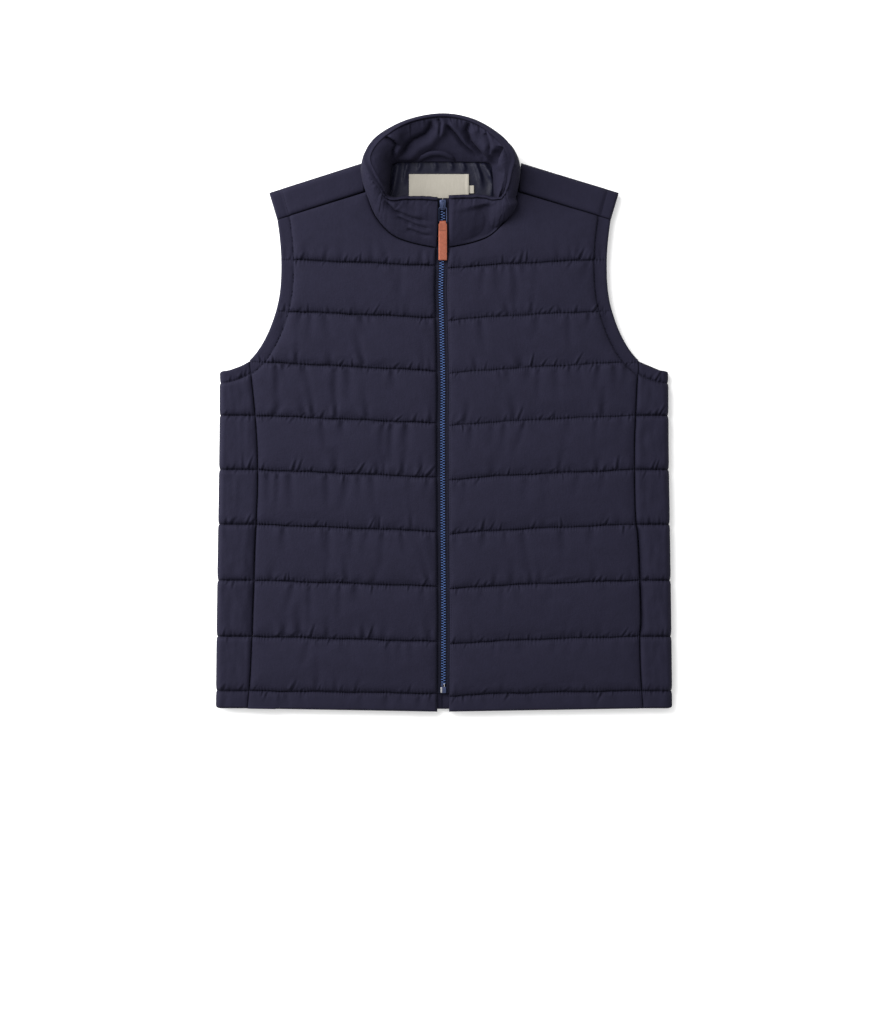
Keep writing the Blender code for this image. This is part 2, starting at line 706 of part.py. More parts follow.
def zip_strip(name, across, up, thickness, along, material, folder):
    """A flat strip along the zip that follows the collar upwards."""
    left, right = across
    stops = [y for y, lift in ZIP_LIFT if along[0] < y < along[1]]
    rings = []
    for y in [along[0]] + stops + [along[1]]:
        z = FRONT_FLOOR + up + zip_lift(y)
        rings.append([(left, y, z), (right, y, z), (right, y, z + thickness), (left, y, z + thickness)])
    return object_from(loft(rings), name, material, folder)


def slider(place, slope, material, folder, tools):
    """Slider body with the bridge that holds the puller; in its own frame the chain runs along Y."""
    body = block("zip_slider", SLIDER_SIZE, (0, 0, SLIDER_SIZE[2] / 2), material, folder)
    bevelled(body, SLIDER_ROUND)
    bridge_up = SLIDER_SIZE[2] + BRIDGE_SIZE[2] / 2 - BRIDGE_SINK
    bridge = block("bridge", BRIDGE_SIZE, (0, 0, bridge_up), material, tools)
    bevelled(bridge, BRIDGE_ROUND)
    width, length, height = BRIDGE_SIZE
    hole = (2 * width, length - 2 * BRIDGE_WALL, height - BRIDGE_WALL - BRIDGE_SINK)
    eye = block("eye", hole, (0, 0, SLIDER_SIZE[2] + hole[2] / 2), material, tools)
    cut(body, bridge, "UNION")
    cut(body, eye, "DIFFERENCE")
    for obj in (body, bridge, eye):
        obj.location = place
        obj.rotation_euler = (slope, 0, 0)
    return body


def puller(material, folder):
    """Wire frame on the slider's bridge, with its upper bar as the hinge pin."""
    curve = bpy.data.curves.new("zip_puller", "CURVE")
    curve.dimensions = "3D"
    curve.bevel_depth = PIN_RADIUS
    curve.bevel_resolution = 1
    half = PULLER_WIDTH / 2 - PIN_RADIUS
    corners = [(-half, 0.0), (half, 0.0), (half, -PULLER_LENGTH), (-half, -PULLER_LENGTH)]
    path = curve.splines.new("POLY")
    path.points.add(len(corners) - 1)
    for point, (x, y) in zip(path.points, corners):
        point.co = (x, y, 0, 1)
    path.use_cyclic_u = True
    curve.materials.append(material)
    obj = bpy.data.objects.new("zip_puller", curve)
    folder.objects.link(obj)
    return obj


def tab_profile():
    """Side view of the folded strap in (y, z): its outside, then the hole for the puller's lower bar."""
    bar = -PULLER_LENGTH
    tip = bar - TAB_LENGTH
    hole = PIN_RADIUS + TAB_HOLE_CLEAR
    outer = hole + TAB_LEAF
    over = np.linspace(0, math.pi, TAB_BEND_STEPS)
    bend = [(bar + outer * math.sin(a), outer * math.cos(a)) for a in over]
    top = [(tip, TAB_LEAF), (bar - TAB_SHUT, TAB_LEAF)]
    low = [(bar - TAB_SHUT, -TAB_LEAF), (tip, -TAB_LEAF)]
    around = np.linspace(0, 2 * math.pi, TAB_HOLE_STEPS, endpoint=False)
    return top + bend + low, [(bar + hole * math.sin(a), hole * math.cos(a)) for a in around]


def pull_tab(material, folder):
    """Leather strap folded round the lower bar of the puller; it is narrower where it passes the frame."""
    bm = bmesh.new()
    loops = []
    for points in tab_profile():
        verts = [bm.verts.new((0, y, z)) for y, z in points]
        loops += [bm.edges.new((a, b)) for a, b in zip(verts, verts[1:] + verts[:1])]
    bmesh.ops.triangle_fill(bm, edges=loops, use_beauty=True)
    added = bmesh.ops.extrude_face_region(bm, geom=list(bm.faces))["geom"]
    far = {v for v in added if isinstance(v, bmesh.types.BMVert)}
    for v in bm.verts:
        neck = v.co.y > -PULLER_LENGTH - TAB_NECK_LENGTH
        half = (TAB_NECK_WIDTH if neck else TAB_WIDTH) / 2
        v.co.x = half if v in far else -half
    return object_from(bm, "pull_tab", material, folder)


def pull(place, slope, material, strap, folder):
    """Puller and leather tab, hung from the pin so that the end of the tab lies on the chain."""
    pin_up = SLIDER_SIZE[2] + PIN_RADIUS + PIN_CLEAR
    hinge = bpy.data.objects.new("pull_hinge", None)
    folder.objects.link(hinge)
    hinge.location = (place[0], place[1] - PIN_BACK * math.cos(slope) - pin_up * math.sin(slope),
                      place[2] - PIN_BACK * math.sin(slope) + pin_up * math.cos(slope))
    lying = FRONT_FLOOR + CHAIN_UP + CHAIN_THICKNESS + TAB_LEAF + TAB_REST_CLEAR
    fall = hinge.location.z - lying
    hinge.rotation_euler = (math.asin(fall / (PULLER_LENGTH + TAB_LENGTH)), 0, 0)
    for obj in (puller(material, folder), pull_tab(strap, folder)):
        obj.parent = hinge


def zip_fastener(look, folder, tools):
    """Tapes, chain, box, slider and pull of the zip."""
    tape = look["zip_tape"]
    whole = (ZIP_BOTTOM, ZIP_TOP)
    left = (-FRONT_EDGE["left"] + SEAM_GAP, ZIP_X - SEAM_GAP)
    right = (ZIP_X + SEAM_GAP, FRONT_EDGE["right"] - SEAM_GAP)
    zip_strip("zip_tape_left", left, TAPE_UP, TAPE_THICKNESS, whole, tape, folder)
    zip_strip("zip_tape_right", right, TAPE_UP, TAPE_THICKNESS, whole, tape, folder)
    chain = (ZIP_X - CHAIN_WIDTH / 2, ZIP_X + CHAIN_WIDTH / 2)
    run = (ZIP_BOTTOM + BOX_SIZE[1] + SEAM_GAP, SLIDER_Y - SLIDER_SIZE[1] / 2 - CHAIN_CLEAR)
    zip_strip("zip_chain", chain, CHAIN_UP, CHAIN_THICKNESS, run, look["zip_teeth"], folder)
    box_at = (ZIP_X, ZIP_BOTTOM + BOX_SIZE[1] / 2, FRONT_FLOOR + CHAIN_UP + BOX_SIZE[2] / 2)
    bevelled(block("zip_box", BOX_SIZE, box_at, look["zip_metal"], folder), BOX_ROUND)
    slope = math.atan2(zip_lift(SLIDER_Y + SLOPE_STEP) - zip_lift(SLIDER_Y - SLOPE_STEP), 2 * SLOPE_STEP)
    place = (ZIP_X, SLIDER_Y, FRONT_FLOOR + CHAIN_UP + SLIDER_LIFT + zip_lift(SLIDER_Y))
    slider(place, slope, look["zip_metal"], folder, tools)
    pull(place, slope, look["zip_metal"], look["leather"], folder)


def materials():
    """One material for each kind of cloth, metal and leather."""
    look = {}
    for name, (colour, roughness, metal) in MATERIALS.items():
        mat = bpy.data.materials.new(name)
        mat.use_nodes = True
        shader = mat.node_tree.nodes["Principled BSDF"]
        shader.inputs["Base Color"].default_value = (*colour, 1)
        shader.inputs["Roughness"].default_value = roughness
        shader.inputs["Metallic"].default_value = metal
        mat.diffuse_color = (*colour, 1)
        look[name] = mat
    return look


def build():
    for obj in list(bpy.data.objects):
        bpy.data.objects.remove(obj)
    vest = bpy.data.collections.new("quilted_vest")
    tools = bpy.data.collections.new("cutters")
    for folder in (vest, tools):
        bpy.context.scene.collection.children.link(folder)
    look = materials()
    for side in SIDES:
        front(side, look["shell"], vest)
        side_panel(side, look["shell"], vest)
        pocket_edge(side, look["shell"], vest)
    back(look["shell"], vest, tools)
    collar(look["shell"], vest)
    lining(look["lining"], vest)
    label_low = LINING_LOW + LINING_THICKNESS + SEAM_GAP
    block("label", LABEL_SIZE, (*LABEL_AT, label_low + LABEL_SIZE[2] / 2), look["label"], vest)
    tag_x = LABEL_AT[0] + (LABEL_SIZE[0] + TAG_SIZE[0]) / 2 + SEAM_GAP
    block("size_tag", TAG_SIZE, (tag_x, TAG_Y, label_low + TAG_SIZE[2] / 2), look["label"], vest)
    hanger_loop(look["shell"], vest)
    zip_fastener(look, vest, tools)


build()
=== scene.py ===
"""Looks of the quilted vest: filled panels with their quilting, folds, sewing, zip and leather pull.

Metres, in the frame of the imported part: +Z up, the hem towards -Y, the collar towards +Y, left at -X.
"Half" is the distance from the middle, and "share" runs from 0 to 1 along or across a piece.
"""

import json
import math

import bpy
import numpy as np
from mathutils import Matrix, Vector, kdtree, noise
from mathutils.geometry import delaunay_2d_cdt


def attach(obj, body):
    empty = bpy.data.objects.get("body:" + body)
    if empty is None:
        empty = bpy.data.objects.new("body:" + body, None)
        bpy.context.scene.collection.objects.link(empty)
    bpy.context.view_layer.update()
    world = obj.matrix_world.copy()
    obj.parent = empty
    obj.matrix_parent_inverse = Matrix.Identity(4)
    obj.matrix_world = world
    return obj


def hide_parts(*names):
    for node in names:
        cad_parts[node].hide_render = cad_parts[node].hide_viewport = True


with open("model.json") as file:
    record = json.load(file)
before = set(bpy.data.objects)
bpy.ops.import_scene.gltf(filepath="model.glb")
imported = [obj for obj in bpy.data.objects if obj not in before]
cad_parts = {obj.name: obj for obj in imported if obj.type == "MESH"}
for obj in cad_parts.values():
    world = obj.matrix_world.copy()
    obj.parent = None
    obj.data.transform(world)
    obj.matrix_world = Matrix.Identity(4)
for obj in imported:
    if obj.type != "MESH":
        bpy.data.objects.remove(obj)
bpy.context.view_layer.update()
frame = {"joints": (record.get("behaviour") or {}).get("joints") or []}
SIDES = {"left": -1, "right": 1}
EYE = np.array([0.00125, -0.1244, 3.0220])

# Layers of the laid-out vest, as in the part
SEAM_GAP = 0.0003
BACK_THICKNESS = 0.0090
FRONT_FLOOR = BACK_THICKNESS + SEAM_GAP

# Outline of the body, each row (half, towards the collar), as in the part
HEM_AT_ZIP = -0.3731
HEM_AT_SIDE = -0.3690
ARMHOLE = (
    (0.2180, 0.2735),
    (0.2088, 0.2455),
    (0.2030, 0.1950),
    (0.2050, 0.1456),
    (0.2163, 0.1056),
    (0.2325, 0.0756),
    (0.2506, 0.0592),
    (0.2795, 0.0515),
)
SIDE_SEAM = (
    (0.2420, 0.0648),
    (0.2375, 0.0000),
    (0.2360, -0.0660),
    (0.2400, -0.2080),
    (0.2462, HEM_AT_SIDE),
)
# Sway of the side seams as the vest lies, each row (height, outwards on the left, outwards on the right)
SEAM_SWAY = (
    (0.0648, 0.0000, 0.0000),
    (0.0000, -0.0022, 0.0012),
    (-0.0500, -0.0038, 0.0012),
    (-0.0970, -0.0048, 0.0008),
    (-0.1310, -0.0042, 0.0010),
    (-0.1600, -0.0036, 0.0034),
    (-0.2500, -0.0038, 0.0036),
    (-0.2850, -0.0038, 0.0008),
    (-0.3300, -0.0036, 0.0004),
    (HEM_AT_SIDE, -0.0014, 0.0018),
)
SIDE_FOLD = (
    (0.2795, 0.0515),
    (0.2800, -0.0450),
    (0.2825, -0.2100),
    (0.2845, HEM_AT_SIDE),
)
SHOULDER_AT_NECK = (0.0990, 0.3105)
SHOULDER_AT_TIP = (0.2180, 0.2735)
SHOULDER_SEAM_AT_ARM = (0.2076, 0.2390)
SHOULDER_SEAM_AT_NECK = 0.2740
SHOULDER_FOLD_RADIUS = 0.0085

# Quilting stitch lines, each row (height at the zip, height at the side seam); the last is the hem stitch
QUILT = (
    (0.1815, 0.1913),
    (0.1166, 0.1270),
    (0.0504, 0.0624),
    (-0.0145, -0.0043),
    (-0.0819, -0.0718),
    (-0.1492, -0.1399),
    (-0.2176, -0.2095),
    (-0.2861, -0.2793),
    (-0.3506, -0.3469),
)
# Droop of the lines beside the zip, and how far from it they droop
LINE_DROOP = {"left": 0.0000, "right": 0.0036}
DROOP_REACH = 0.0500
# Half width between the two heights of a line
QUILT_SPAN = 0.2380
# How the needle wanders off a line: rows of (height, length, share of the phase), and the phases
NEEDLE_WANDER = ((0.00040, 0.0131, 1.0), (0.00020, 0.0047, 2.1))
LINE_PHASE = 1.7
SIDE_PHASE = {"left": 0.9, "right": 2.3}
# Width of the armhole band, from the edge to its stitch
BAND = 0.0160
# Stitch and edge of the armhole band on a side panel, each (height at the seam, height at the fold)
SIDE_BAND = ((0.0480, 0.0360), (0.0638, 0.0515))

# Front opening, zip and pocket mouths, much as in the part
ZIP_X = -0.0015
FRONT_EDGE = {"left": 0.0088, "right": 0.0058}
ZIP_TOP = 0.2650
ZIP_BOTTOM = -0.3500
TAPE_UP = 0.0008
TAPE_THICKNESS = 0.0010
CHAIN_THICKNESS = 0.0022
CHAIN_UP = TAPE_UP + TAPE_THICKNESS + SEAM_GAP
ZIP_LIFT = ((ZIP_BOTTOM, 0.0), (0.1900, 0.0), (0.2140, 0.0020), (0.2420, 0.0078), (ZIP_TOP, 0.0128))
POCKET_TOP = -0.1310
POCKET_BOTTOM = -0.2850
POCKET_OPEN = 0.0012
POCKET_TAPER = 0.0120
MOUTH_FADE = 0.0180

# Stand collar, much as in the part: seam rows (half from the middle of the neck, y, z)
NECK_X = -0.0030
NECK_CLEAR = 0.0016
COLLAR_SEAM = (
    (0.0000, 0.2036, 0.0130),
    (0.0400, 0.2120, 0.0132),
    (0.0636, 0.2230, 0.0138),
    (0.0825, 0.2460, 0.0150),
    (0.0915, 0.2730, 0.0155),
    (0.0930, 0.2960, 0.0125),
    (0.0845, 0.3135, 0.0085),
    (0.0450, 0.3165, 0.0065),
    (0.0000, 0.3175, 0.0062),
)
# How many of these rows belong to the front; the last of them is at the shoulder seam
FRONT_ROWS = 5
# Top edge of the collar on each side, rows (half, y, z) that go with those of the seam
COLLAR_EDGE = {
    "left": (
        (0.0000, 0.2660, 0.0262),
        (0.0400, 0.2672, 0.0290),
        (0.0668, 0.2652, 0.0340),
        (0.0772, 0.2770, 0.0440),
        (0.0892, 0.2950, 0.0515),
        (0.0942, 0.3140, 0.0520),
        (0.0785, 0.3380, 0.0455),
        (0.0442, 0.3598, 0.0365),
        (0.0015, 0.3684, 0.0330),
    ),
    "right": (
        (0.0000, 0.2672, 0.0262),
        (0.0400, 0.2690, 0.0290),
        (0.0680, 0.2656, 0.0340),
        (0.0752, 0.2770, 0.0440),
        (0.0792, 0.2950, 0.0500),
        (0.0825, 0.3140, 0.0515),
        (0.0690, 0.3362, 0.0455),
        (0.0375, 0.3598, 0.0365),
        (-0.0015, 0.3684, 0.0330),
    ),
}

# Foot of the collar's inside, where its filling bulges over the lining; rows that go with those of the seam
COLLAR_FOOT = (
    (0.0000, 0.2036, 0.0130),
    (0.0400, 0.2120, 0.0132),
    (0.0610, 0.2260, 0.0130),
    (0.0655, 0.2480, 0.0124),
    (0.0655, 0.2730, 0.0119),
    (0.0640, 0.2960, 0.0118),
    (0.0605, 0.3092, 0.0118),
    (0.0400, 0.3113, 0.0118),
    (0.0000, 0.3117, 0.0118),
)

# What lies inside the neck, much as in the part
LINING_LOW = BACK_THICKNESS + SEAM_GAP
LINING_LOWER = 0.2500
LABEL_SIZE = (0.0750, 0.0400)
LABEL_AT = (-0.0062, 0.2764)
TAG_SIZE = (0.0100, 0.0100)
TAG_AT = (0.0325, 0.2772)
LOOP_AT = (-0.0090, 0.3120)
# Hanger loop, each row (half span, away from the neck seam, height, strand radius)
LOOP = (
    (0.0220, 0.0000, 0.0124, 0.0019),
    (0.0175, 0.0042, 0.0190, 0.0031),
    (0.0080, 0.0080, 0.0224, 0.0033),
    (0.0000, 0.0087, 0.0229, 0.0033),
)

# Zip hardware, much as in the part
SLIDER_Y = 0.2568
SLIDER_SIZE = (0.0084, 0.0130, 0.0036)
BRIDGE_SIZE = (0.0026, 0.0096, 0.0034)
PIN_RADIUS = 0.0005
PULLER_WIDTH = 0.0104
PULLER_LENGTH = 0.0185
TAB_WIDTH = 0.0104
TAB_NECK_WIDTH = 0.0078
TAB_LENGTH = 0.0465
TAB_LEAF = 0.0013
BOX_SIZE = (0.0074, 0.0100, 0.0032)

# How the filled cloth swells: thickness at stitches, and at the crown of a channel, hem, band and shoulder
AT_STITCH = 0.0023
AT_CROWN = 0.0094
HEM_CROWN = 0.0060
BAND_CROWN = 0.0052
SHOULDER_CROWN = 0.0068
# How far above and below a stitch line the cloth has risen, and how much of the rise that is
RISE_ABOVE = 0.0130
RISE_BELOW = 0.0085
RISE_SHARE = 0.95
# How far from the band's stitch, and from a seam, it has risen
BAND_REACH = 0.0045
SEAM_REACH = 0.0075
# Share of the rise that is there already at a seam, at a pocket mouth and at the zip
AT_SEAM = 0.30
AT_MOUTH = 0.66
AT_ZIP = 0.45
# Rise at the neck and shoulder seams, as a distance from a stitch
AT_NECK = 0.0016
# How steeply filled cloth rises from a stitch; a plain quarter round is 2
FULLNESS = 2.6
QUARTER_ROUND = 2.0
# Thickness left at a free edge as a share, and the least thickness of a front
AT_EDGE = 0.25
THINNEST = 0.0008
# Roundings of free edges, of the side fold, its notches and corners, and the grooves underneath
EDGE_ROUND = 0.0034
FOLD_NOTCH = 0.0012
FOLD_RADIUS = 0.0075
CORNER_ROUND = 0.0040
GROOVE_DEPTH = 0.0013
GROOVE_REACH = 0.0030
# Usual spacing along an edge
STEP = 0.0020
# Spacing of a front panel's points, and how far above and below a stitch line they are close together
PANEL_SPACING = 0.0048
NEAR_SPACING = 0.0017
NEAR_ABOVE = 0.0135
NEAR_BELOW = 0.0068
BESIDE_STITCH = (0.0009, 0.0021)
BESIDE_EDGE = (0.0006, 0.0015, 0.0028)
# Least distance between points as a share of their spacing
CLEAR = 0.75

# Points in each span of a smooth curve, and settings of the triangulation
SPAN_POINTS = 17
INSIDE_ONLY = 1
TOLERANCE = 1e-7
# Least square of a length to divide by
TINY = 1e-12
# Smooth subdivision: shares of the ends and of each point across in a new point, and of an old place kept
NEW_FROM_ENDS = 0.75
NEW_FROM_ACROSS = 0.125
OLD_KEPT = 0.625


def columns(*values):
    """Values as the columns of an array; a single number fills its column."""
    return np.column_stack(np.broadcast_arrays(*values))


def unit(vectors):
    """The vectors, each brought to length 1."""
    return vectors / np.linalg.norm(vectors, axis=1, keepdims=True)


def closed(line):
    """A line of points with its first point again at its end."""
    return np.vstack([line, line[:1]])


def at_least(least, share):
    """A share from 0 to 1, carried to run from a least value to 1."""
    return least + (1 - least) * share


def placed(points, place):
    """Points moved by a placing matrix."""
    return np.array([place @ Vector(p) for p in points])


def spline(points, spacing):
    """Points about `spacing` apart along a smooth curve through the given points."""
    p = np.asarray(points, float)
    p = np.vstack([2 * p[0] - p[1], p, 2 * p[-1] - p[-2]])
    t = np.linspace(0, 1, SPAN_POINTS)[:, None]
    fine = [p[1:2]]
    for a, b, c, d in zip(p, p[1:], p[2:], p[3:]):
        span = 2 * b + (c - a) * t + (2 * a - 5 * b + 4 * c - d) * t**2 + (3 * b - a - 3 * c + d) * t**3
        fine.append(0.5 * span[1:])
    fine = np.vstack(fine)
    return resample(fine, max(2, round(travel(fine)[-1] / spacing) + 1))


def travel(path):
    """How far along a path each of its points is."""
    return np.concatenate([[0], np.cumsum(np.linalg.norm(np.diff(path, axis=0), axis=1))])


def point_at(path, at):
    """Points on a path, at the given distances along it."""
    along = travel(path)
    return np.stack([np.interp(at, along, path[:, k]) for k in range(path.shape[1])], axis=-1)


def resample(path, count):
    """The path again, as `count` points evenly spaced along it."""
    return point_at(path, np.linspace(0, travel(path)[-1], count))


def straight(start, end, spacing):
    """Points about `spacing` apart on a straight line."""
    start = np.asarray(start, float)
    end = np.asarray(end, float)
    count = max(2, round(np.linalg.norm(end - start) / spacing) + 1)
    return start + np.linspace(0, 1, count)[:, None] * (end - start)


def half_at(curve, y):
    """Half width at which a curve of (half, y) points passes the height y."""
    order = np.argsort(curve[:, 1])
    return np.interp(y, curve[order, 1], curve[order, 0])


def offset(curve, distance):
    """The curve moved sideways by a distance, to the right of its direction."""
    step = np.gradient(curve, axis=0)
    normal = np.stack([step[:, 1], -step[:, 0]], axis=1)
    return curve + distance * normal / np.linalg.norm(normal, axis=1, keepdims=True)


def distance_to(points, line):
    """Least distance of each point from a polyline."""
    best = np.full(len(points), np.inf)
    for a, b in zip(line, line[1:]):
        edge = b - a
        share = np.clip((points - a) @ edge / max(edge @ edge, TINY), 0, 1)
        gap = points - a - share[:, None] * edge
        best = np.minimum(best, np.einsum("ij,ij->i", gap, gap))
    return np.sqrt(best)


def inside(points, outline):
    """Which points lie inside a closed outline."""
    found = np.zeros(len(points), bool)
    x = points[:, 0]
    y = points[:, 1]
    for (ax, ay), (bx, by) in zip(outline, np.roll(outline, -1, axis=0)):
        if ay != by:
            crosses = (ay > y) != (by > y)
            found ^= crosses & (x < ax + (y - ay) / (by - ay) * (bx - ax))
    return found


def rise(distance, reach, fullness=FULLNESS):
    """Rise of filled cloth from 0 at a stitch to 1 at its reach; fuller cloth rises more steeply."""
    return np.sqrt(1 - (1 - np.clip(distance / reach, 0, 1)) ** fullness)


def smooth(value):
    """A soft step from 0 to 1."""
    value = np.clip(value, 0, 1)
    return value * value * (3 - 2 * value)


def groove(distance):
    """Depth of the shallow groove that a stitch line leaves in the underside."""
    return GROOVE_DEPTH * np.exp(-((distance / GROOVE_REACH) ** 2))


def rough(points, size, seed):
    """Soft noise between -1 and 1 at (x, y) points, with features of about a size."""
    return np.array([noise.noise((x / size, y / size, seed)) for x, y in points])


def from_above(points):
    """Where (x, y, z) points appear on the floor, seen by the camera."""
    return EYE[:2] + (points[..., :2] - EYE[:2]) * EYE[2] / (EYE[2] - points[..., 2:])


def neck_half(side, half):
    """Half width, from the middle of the hem, of a point given from the middle of the neck."""
    return SIDES[side] * NECK_X + half


def side_seam(side, spacing):
    """Seam between a front and its side panel, from the armhole to the hem, as (half, y) points."""
    curve = spline(SIDE_SEAM, spacing)
    sway = spline(SEAM_SWAY, STEP)[::-1]
    column = 1 if side == "left" else 2
    curve[:, 0] += np.interp(curve[:, 1], sway[:, 0], sway[:, column])
    return curve


def mouth_at(y):
    """How far a pocket's mouth is open at a height: 0 beyond its ends, 1 along its middle."""
    return smooth(np.minimum(POCKET_TOP - y, y - POCKET_BOTTOM) / MOUTH_FADE)


def neckline(side, edge_half, spacing):
    """Front neckline from the shoulder seam to the front edge, as (half, y) points."""
    curve = spline(np.asarray(COLLAR_SEAM)[:FRONT_ROWS, :2], spacing / 4)
    curve[:, 0] = neck_half(side, curve[:, 0])
    outer = offset(curve, NECK_CLEAR)
    outer = outer[(outer[:, 0] > edge_half + 2 * STEP) & (outer[:, 1] < SHOULDER_SEAM_AT_NECK - 2 * STEP)]
    ends = np.array([[edge_half, outer[0, 1]], [outer[-1, 0], SHOULDER_SEAM_AT_NECK]])
    return spline(np.vstack([ends[:1], outer, ends[1:]])[::-1], spacing)


def line_y(side, n, half):
    """Height of quilting line n at the given half widths; the needle wanders a little."""
    zip_y, side_y = QUILT[n]
    phase = LINE_PHASE * n + SIDE_PHASE[side]
    wander = sum(height * np.sin(half / length + turn * phase) for height, length, turn in NEEDLE_WANDER)
    droop = LINE_DROOP[side] * np.exp(-half / DROOP_REACH)
    return zip_y + (side_y - zip_y) * half / QUILT_SPAN + wander - droop


# Meshes

def hexagonal(low, high, spacing):
    """Points of an even triangular grid over a rectangle."""
    rows = np.arange(low[1], high[1], spacing * math.sqrt(3) / 2)
    across = np.arange(low[0], high[0], spacing)
    x = across[None, :] + (np.arange(len(rows)) % 2)[:, None] * spacing / 2
    y = np.broadcast_to(rows[:, None], x.shape)
    return np.stack([x.ravel(), y.ravel()], axis=1)


def tree_of(points):
    """A search tree over the (x, y) places of points."""
    tree = kdtree.KDTree(len(points))
    for n, p in enumerate(points):
        tree.insert((p[0], p[1], 0), n)
    tree.balance()
    return tree


def clear_of(points, taken, distance):
    """The points that are more than a distance away from those already taken."""
    tree = tree_of(taken)
    return points[np.array([tree.find((x, y, 0))[2] > distance for x, y in points], bool)]


def triangulate(outline, runs, batches):
    """Points and triangles over an outline, with its stitch runs among the edges.

    Each batch is (loose points, how far they keep from those before them).
    """
    flat = np.vstack([outline, *runs])
    edges = []
    first = len(outline)
    for run in runs:
        edges += [(first + k, first + k + 1) for k in range(len(run) - 1)]
        first += len(run)
    for loose, clear in batches:
        loose = loose[inside(loose, outline)]
        flat = np.vstack([flat, clear_of(loose, flat, clear)])
    border = [list(range(len(outline)))]
    made = delaunay_2d_cdt([tuple(p) for p in flat], edges, border, INSIDE_ONLY, TOLERANCE)
    return np.array([tuple(p) for p in made[0]]), [tuple(face) for face in made[2]]


def rim_of(faces):
    """The open border of a sheet of faces, as a loop of point numbers that runs with the faces."""
    sides = {(a, b) for face in faces for a, b in zip(face, face[1:] + face[:1])}
    follows = {a: b for a, b in sides if (b, a) not in sides}
    loop = [min(follows)]
    while follows[loop[-1]] != loop[0]:
        loop.append(follows[loop[-1]])
    return loop


def refine(points, flat, faces, held):
    """One step of smooth subdivision of a sheet of triangles; held points keep their place."""
    corner = np.asarray(faces)
    ends = np.sort(np.vstack([corner[:, [0, 1]], corner[:, [1, 2]], corner[:, [2, 0]]]), axis=1)
    across = np.concatenate([corner[:, 2], corner[:, 0], corner[:, 1]])
    edges, which = np.unique(ends, axis=0, return_inverse=True)
    which = which.ravel()
    far = np.zeros((len(edges), 3))
    np.add.at(far, which, points[across])
    middle = points[edges].mean(axis=1)
    free = (np.bincount(which) == 2) & ~held[edges].all(axis=1)
    middle[free] = NEW_FROM_ENDS * middle[free] + NEW_FROM_ACROSS * far[free]
    around = np.zeros_like(points)
    np.add.at(around, edges[:, 0], points[edges[:, 1]])
    np.add.at(around, edges[:, 1], points[edges[:, 0]])
    around /= np.bincount(edges.ravel(), minlength=len(points))[:, None]
    moved = np.where(held[:, None], points, OLD_KEPT * points + (1 - OLD_KEPT) * around)
    ab, bc, ca = len(points) + which.reshape(3, -1)
    a, b, c = corner.T
    split = np.vstack([np.stack(t, axis=1) for t in ((a, ab, ca), (b, bc, ab), (c, ca, bc), (ab, bc, ca))])
    flat = np.vstack([flat, flat[edges].mean(axis=1)])
    return np.vstack([moved, middle]), flat, [tuple(t) for t in split.tolist()]


def closed_over(points, faces, floor):
    """A sheet of (x, y, z) points made solid: its rim goes down to a level, where one flat face closes it."""
    rim = rim_of(faces)
    count = len(points)
    foot = points[rim].copy()
    foot[:, 2] = floor
    low = list(range(count, count + len(rim)))
    walls = [(b, a, low[k], low[(k + 1) % len(rim)])
             for k, (a, b) in enumerate(zip(rim, rim[1:] + rim[:1]))]
    return np.vstack([points, foot]), faces + walls + [tuple(low[::-1])], rim


def two_sided(points, faces, top, bottom):
    """A closed mesh of two height fields over the same triangles, which share their rim."""
    rim = set(rim_of(faces))
    inner = [k for k in range(len(points)) if k not in rim]
    lower = {k: len(points) + n for n, k in enumerate(inner)}
    under = [tuple(lower.get(k, k) for k in face[::-1]) for face in faces]
    upper = np.column_stack([points, top])
    edge = sorted(rim)
    upper[edge, 2] = 0.5 * (top[edge] + bottom[edge])
    return np.vstack([upper, np.column_stack([points[inner], bottom[inner]])]), faces + under


def loft(rings, wrap=False):
    """Points and faces through rings of equally many points, with flat ends, or closed on itself."""
    rings = np.asarray(rings)
    count, size = rings.shape[:2]
    number = np.arange(count * size).reshape(count, size)
    low = number if wrap else number[:-1]
    high = np.roll(number, -1, axis=0) if wrap else number[1:]
    quads = np.stack([low, np.roll(low, -1, axis=1), np.roll(high, -1, axis=1), high], axis=-1)
    faces = [tuple(q) for q in quads.reshape(-1, 4).tolist()]
    if not wrap:
        faces.append(tuple(number[0].tolist())[::-1])
        faces.append(tuple(number[-1].tolist()))
    return rings.reshape(-1, 3), faces


def joined(parts):
    """Several (points, faces) as one."""
    points = []
    faces = []
    count = 0
    for part_points, part_faces in parts:
        points.append(np.asarray(part_points))
        faces += [tuple(k + count for k in face) for face in part_faces]
        count += len(part_points)
    return np.vstack(points), faces


def tube(path, radii, sides, up=(0, 0, 1), flatten=1.0, wrap=False):
    """Points and faces of a round or flattened strand along a path of (x, y, z) points."""
    path = np.asarray(path, float)
    if wrap:
        tangent = np.roll(path, -1, axis=0) - np.roll(path, 1, axis=0)
    else:
        tangent = np.gradient(path, axis=0)
    tangent = unit(tangent)
    first = unit(np.cross(tangent, np.asarray(up, float)))
    second = np.cross(first, tangent)
    angle = np.linspace(0, 2 * math.pi, sides, endpoint=False)
    radii = np.broadcast_to(radii, len(path))
    rings = [at + r * (np.cos(angle)[:, None] * a + flatten * np.sin(angle)[:, None] * b)
             for at, r, a, b in zip(path, radii, first, second)]
    return loft(rings, wrap=wrap)


def turned_out(faces, points):
    """The faces of a closed mesh, turned over if they point inwards."""
    fans = np.array([(f[0], f[k], f[k + 1]) for f in faces for k in range(1, len(f) - 1)])
    a, b, c = points[fans[:, 0]], points[fans[:, 1]], points[fans[:, 2]]
    volume = np.einsum("ij,ij->i", a, np.cross(b, c)).sum()
    return faces if volume > 0 else [face[::-1] for face in faces]


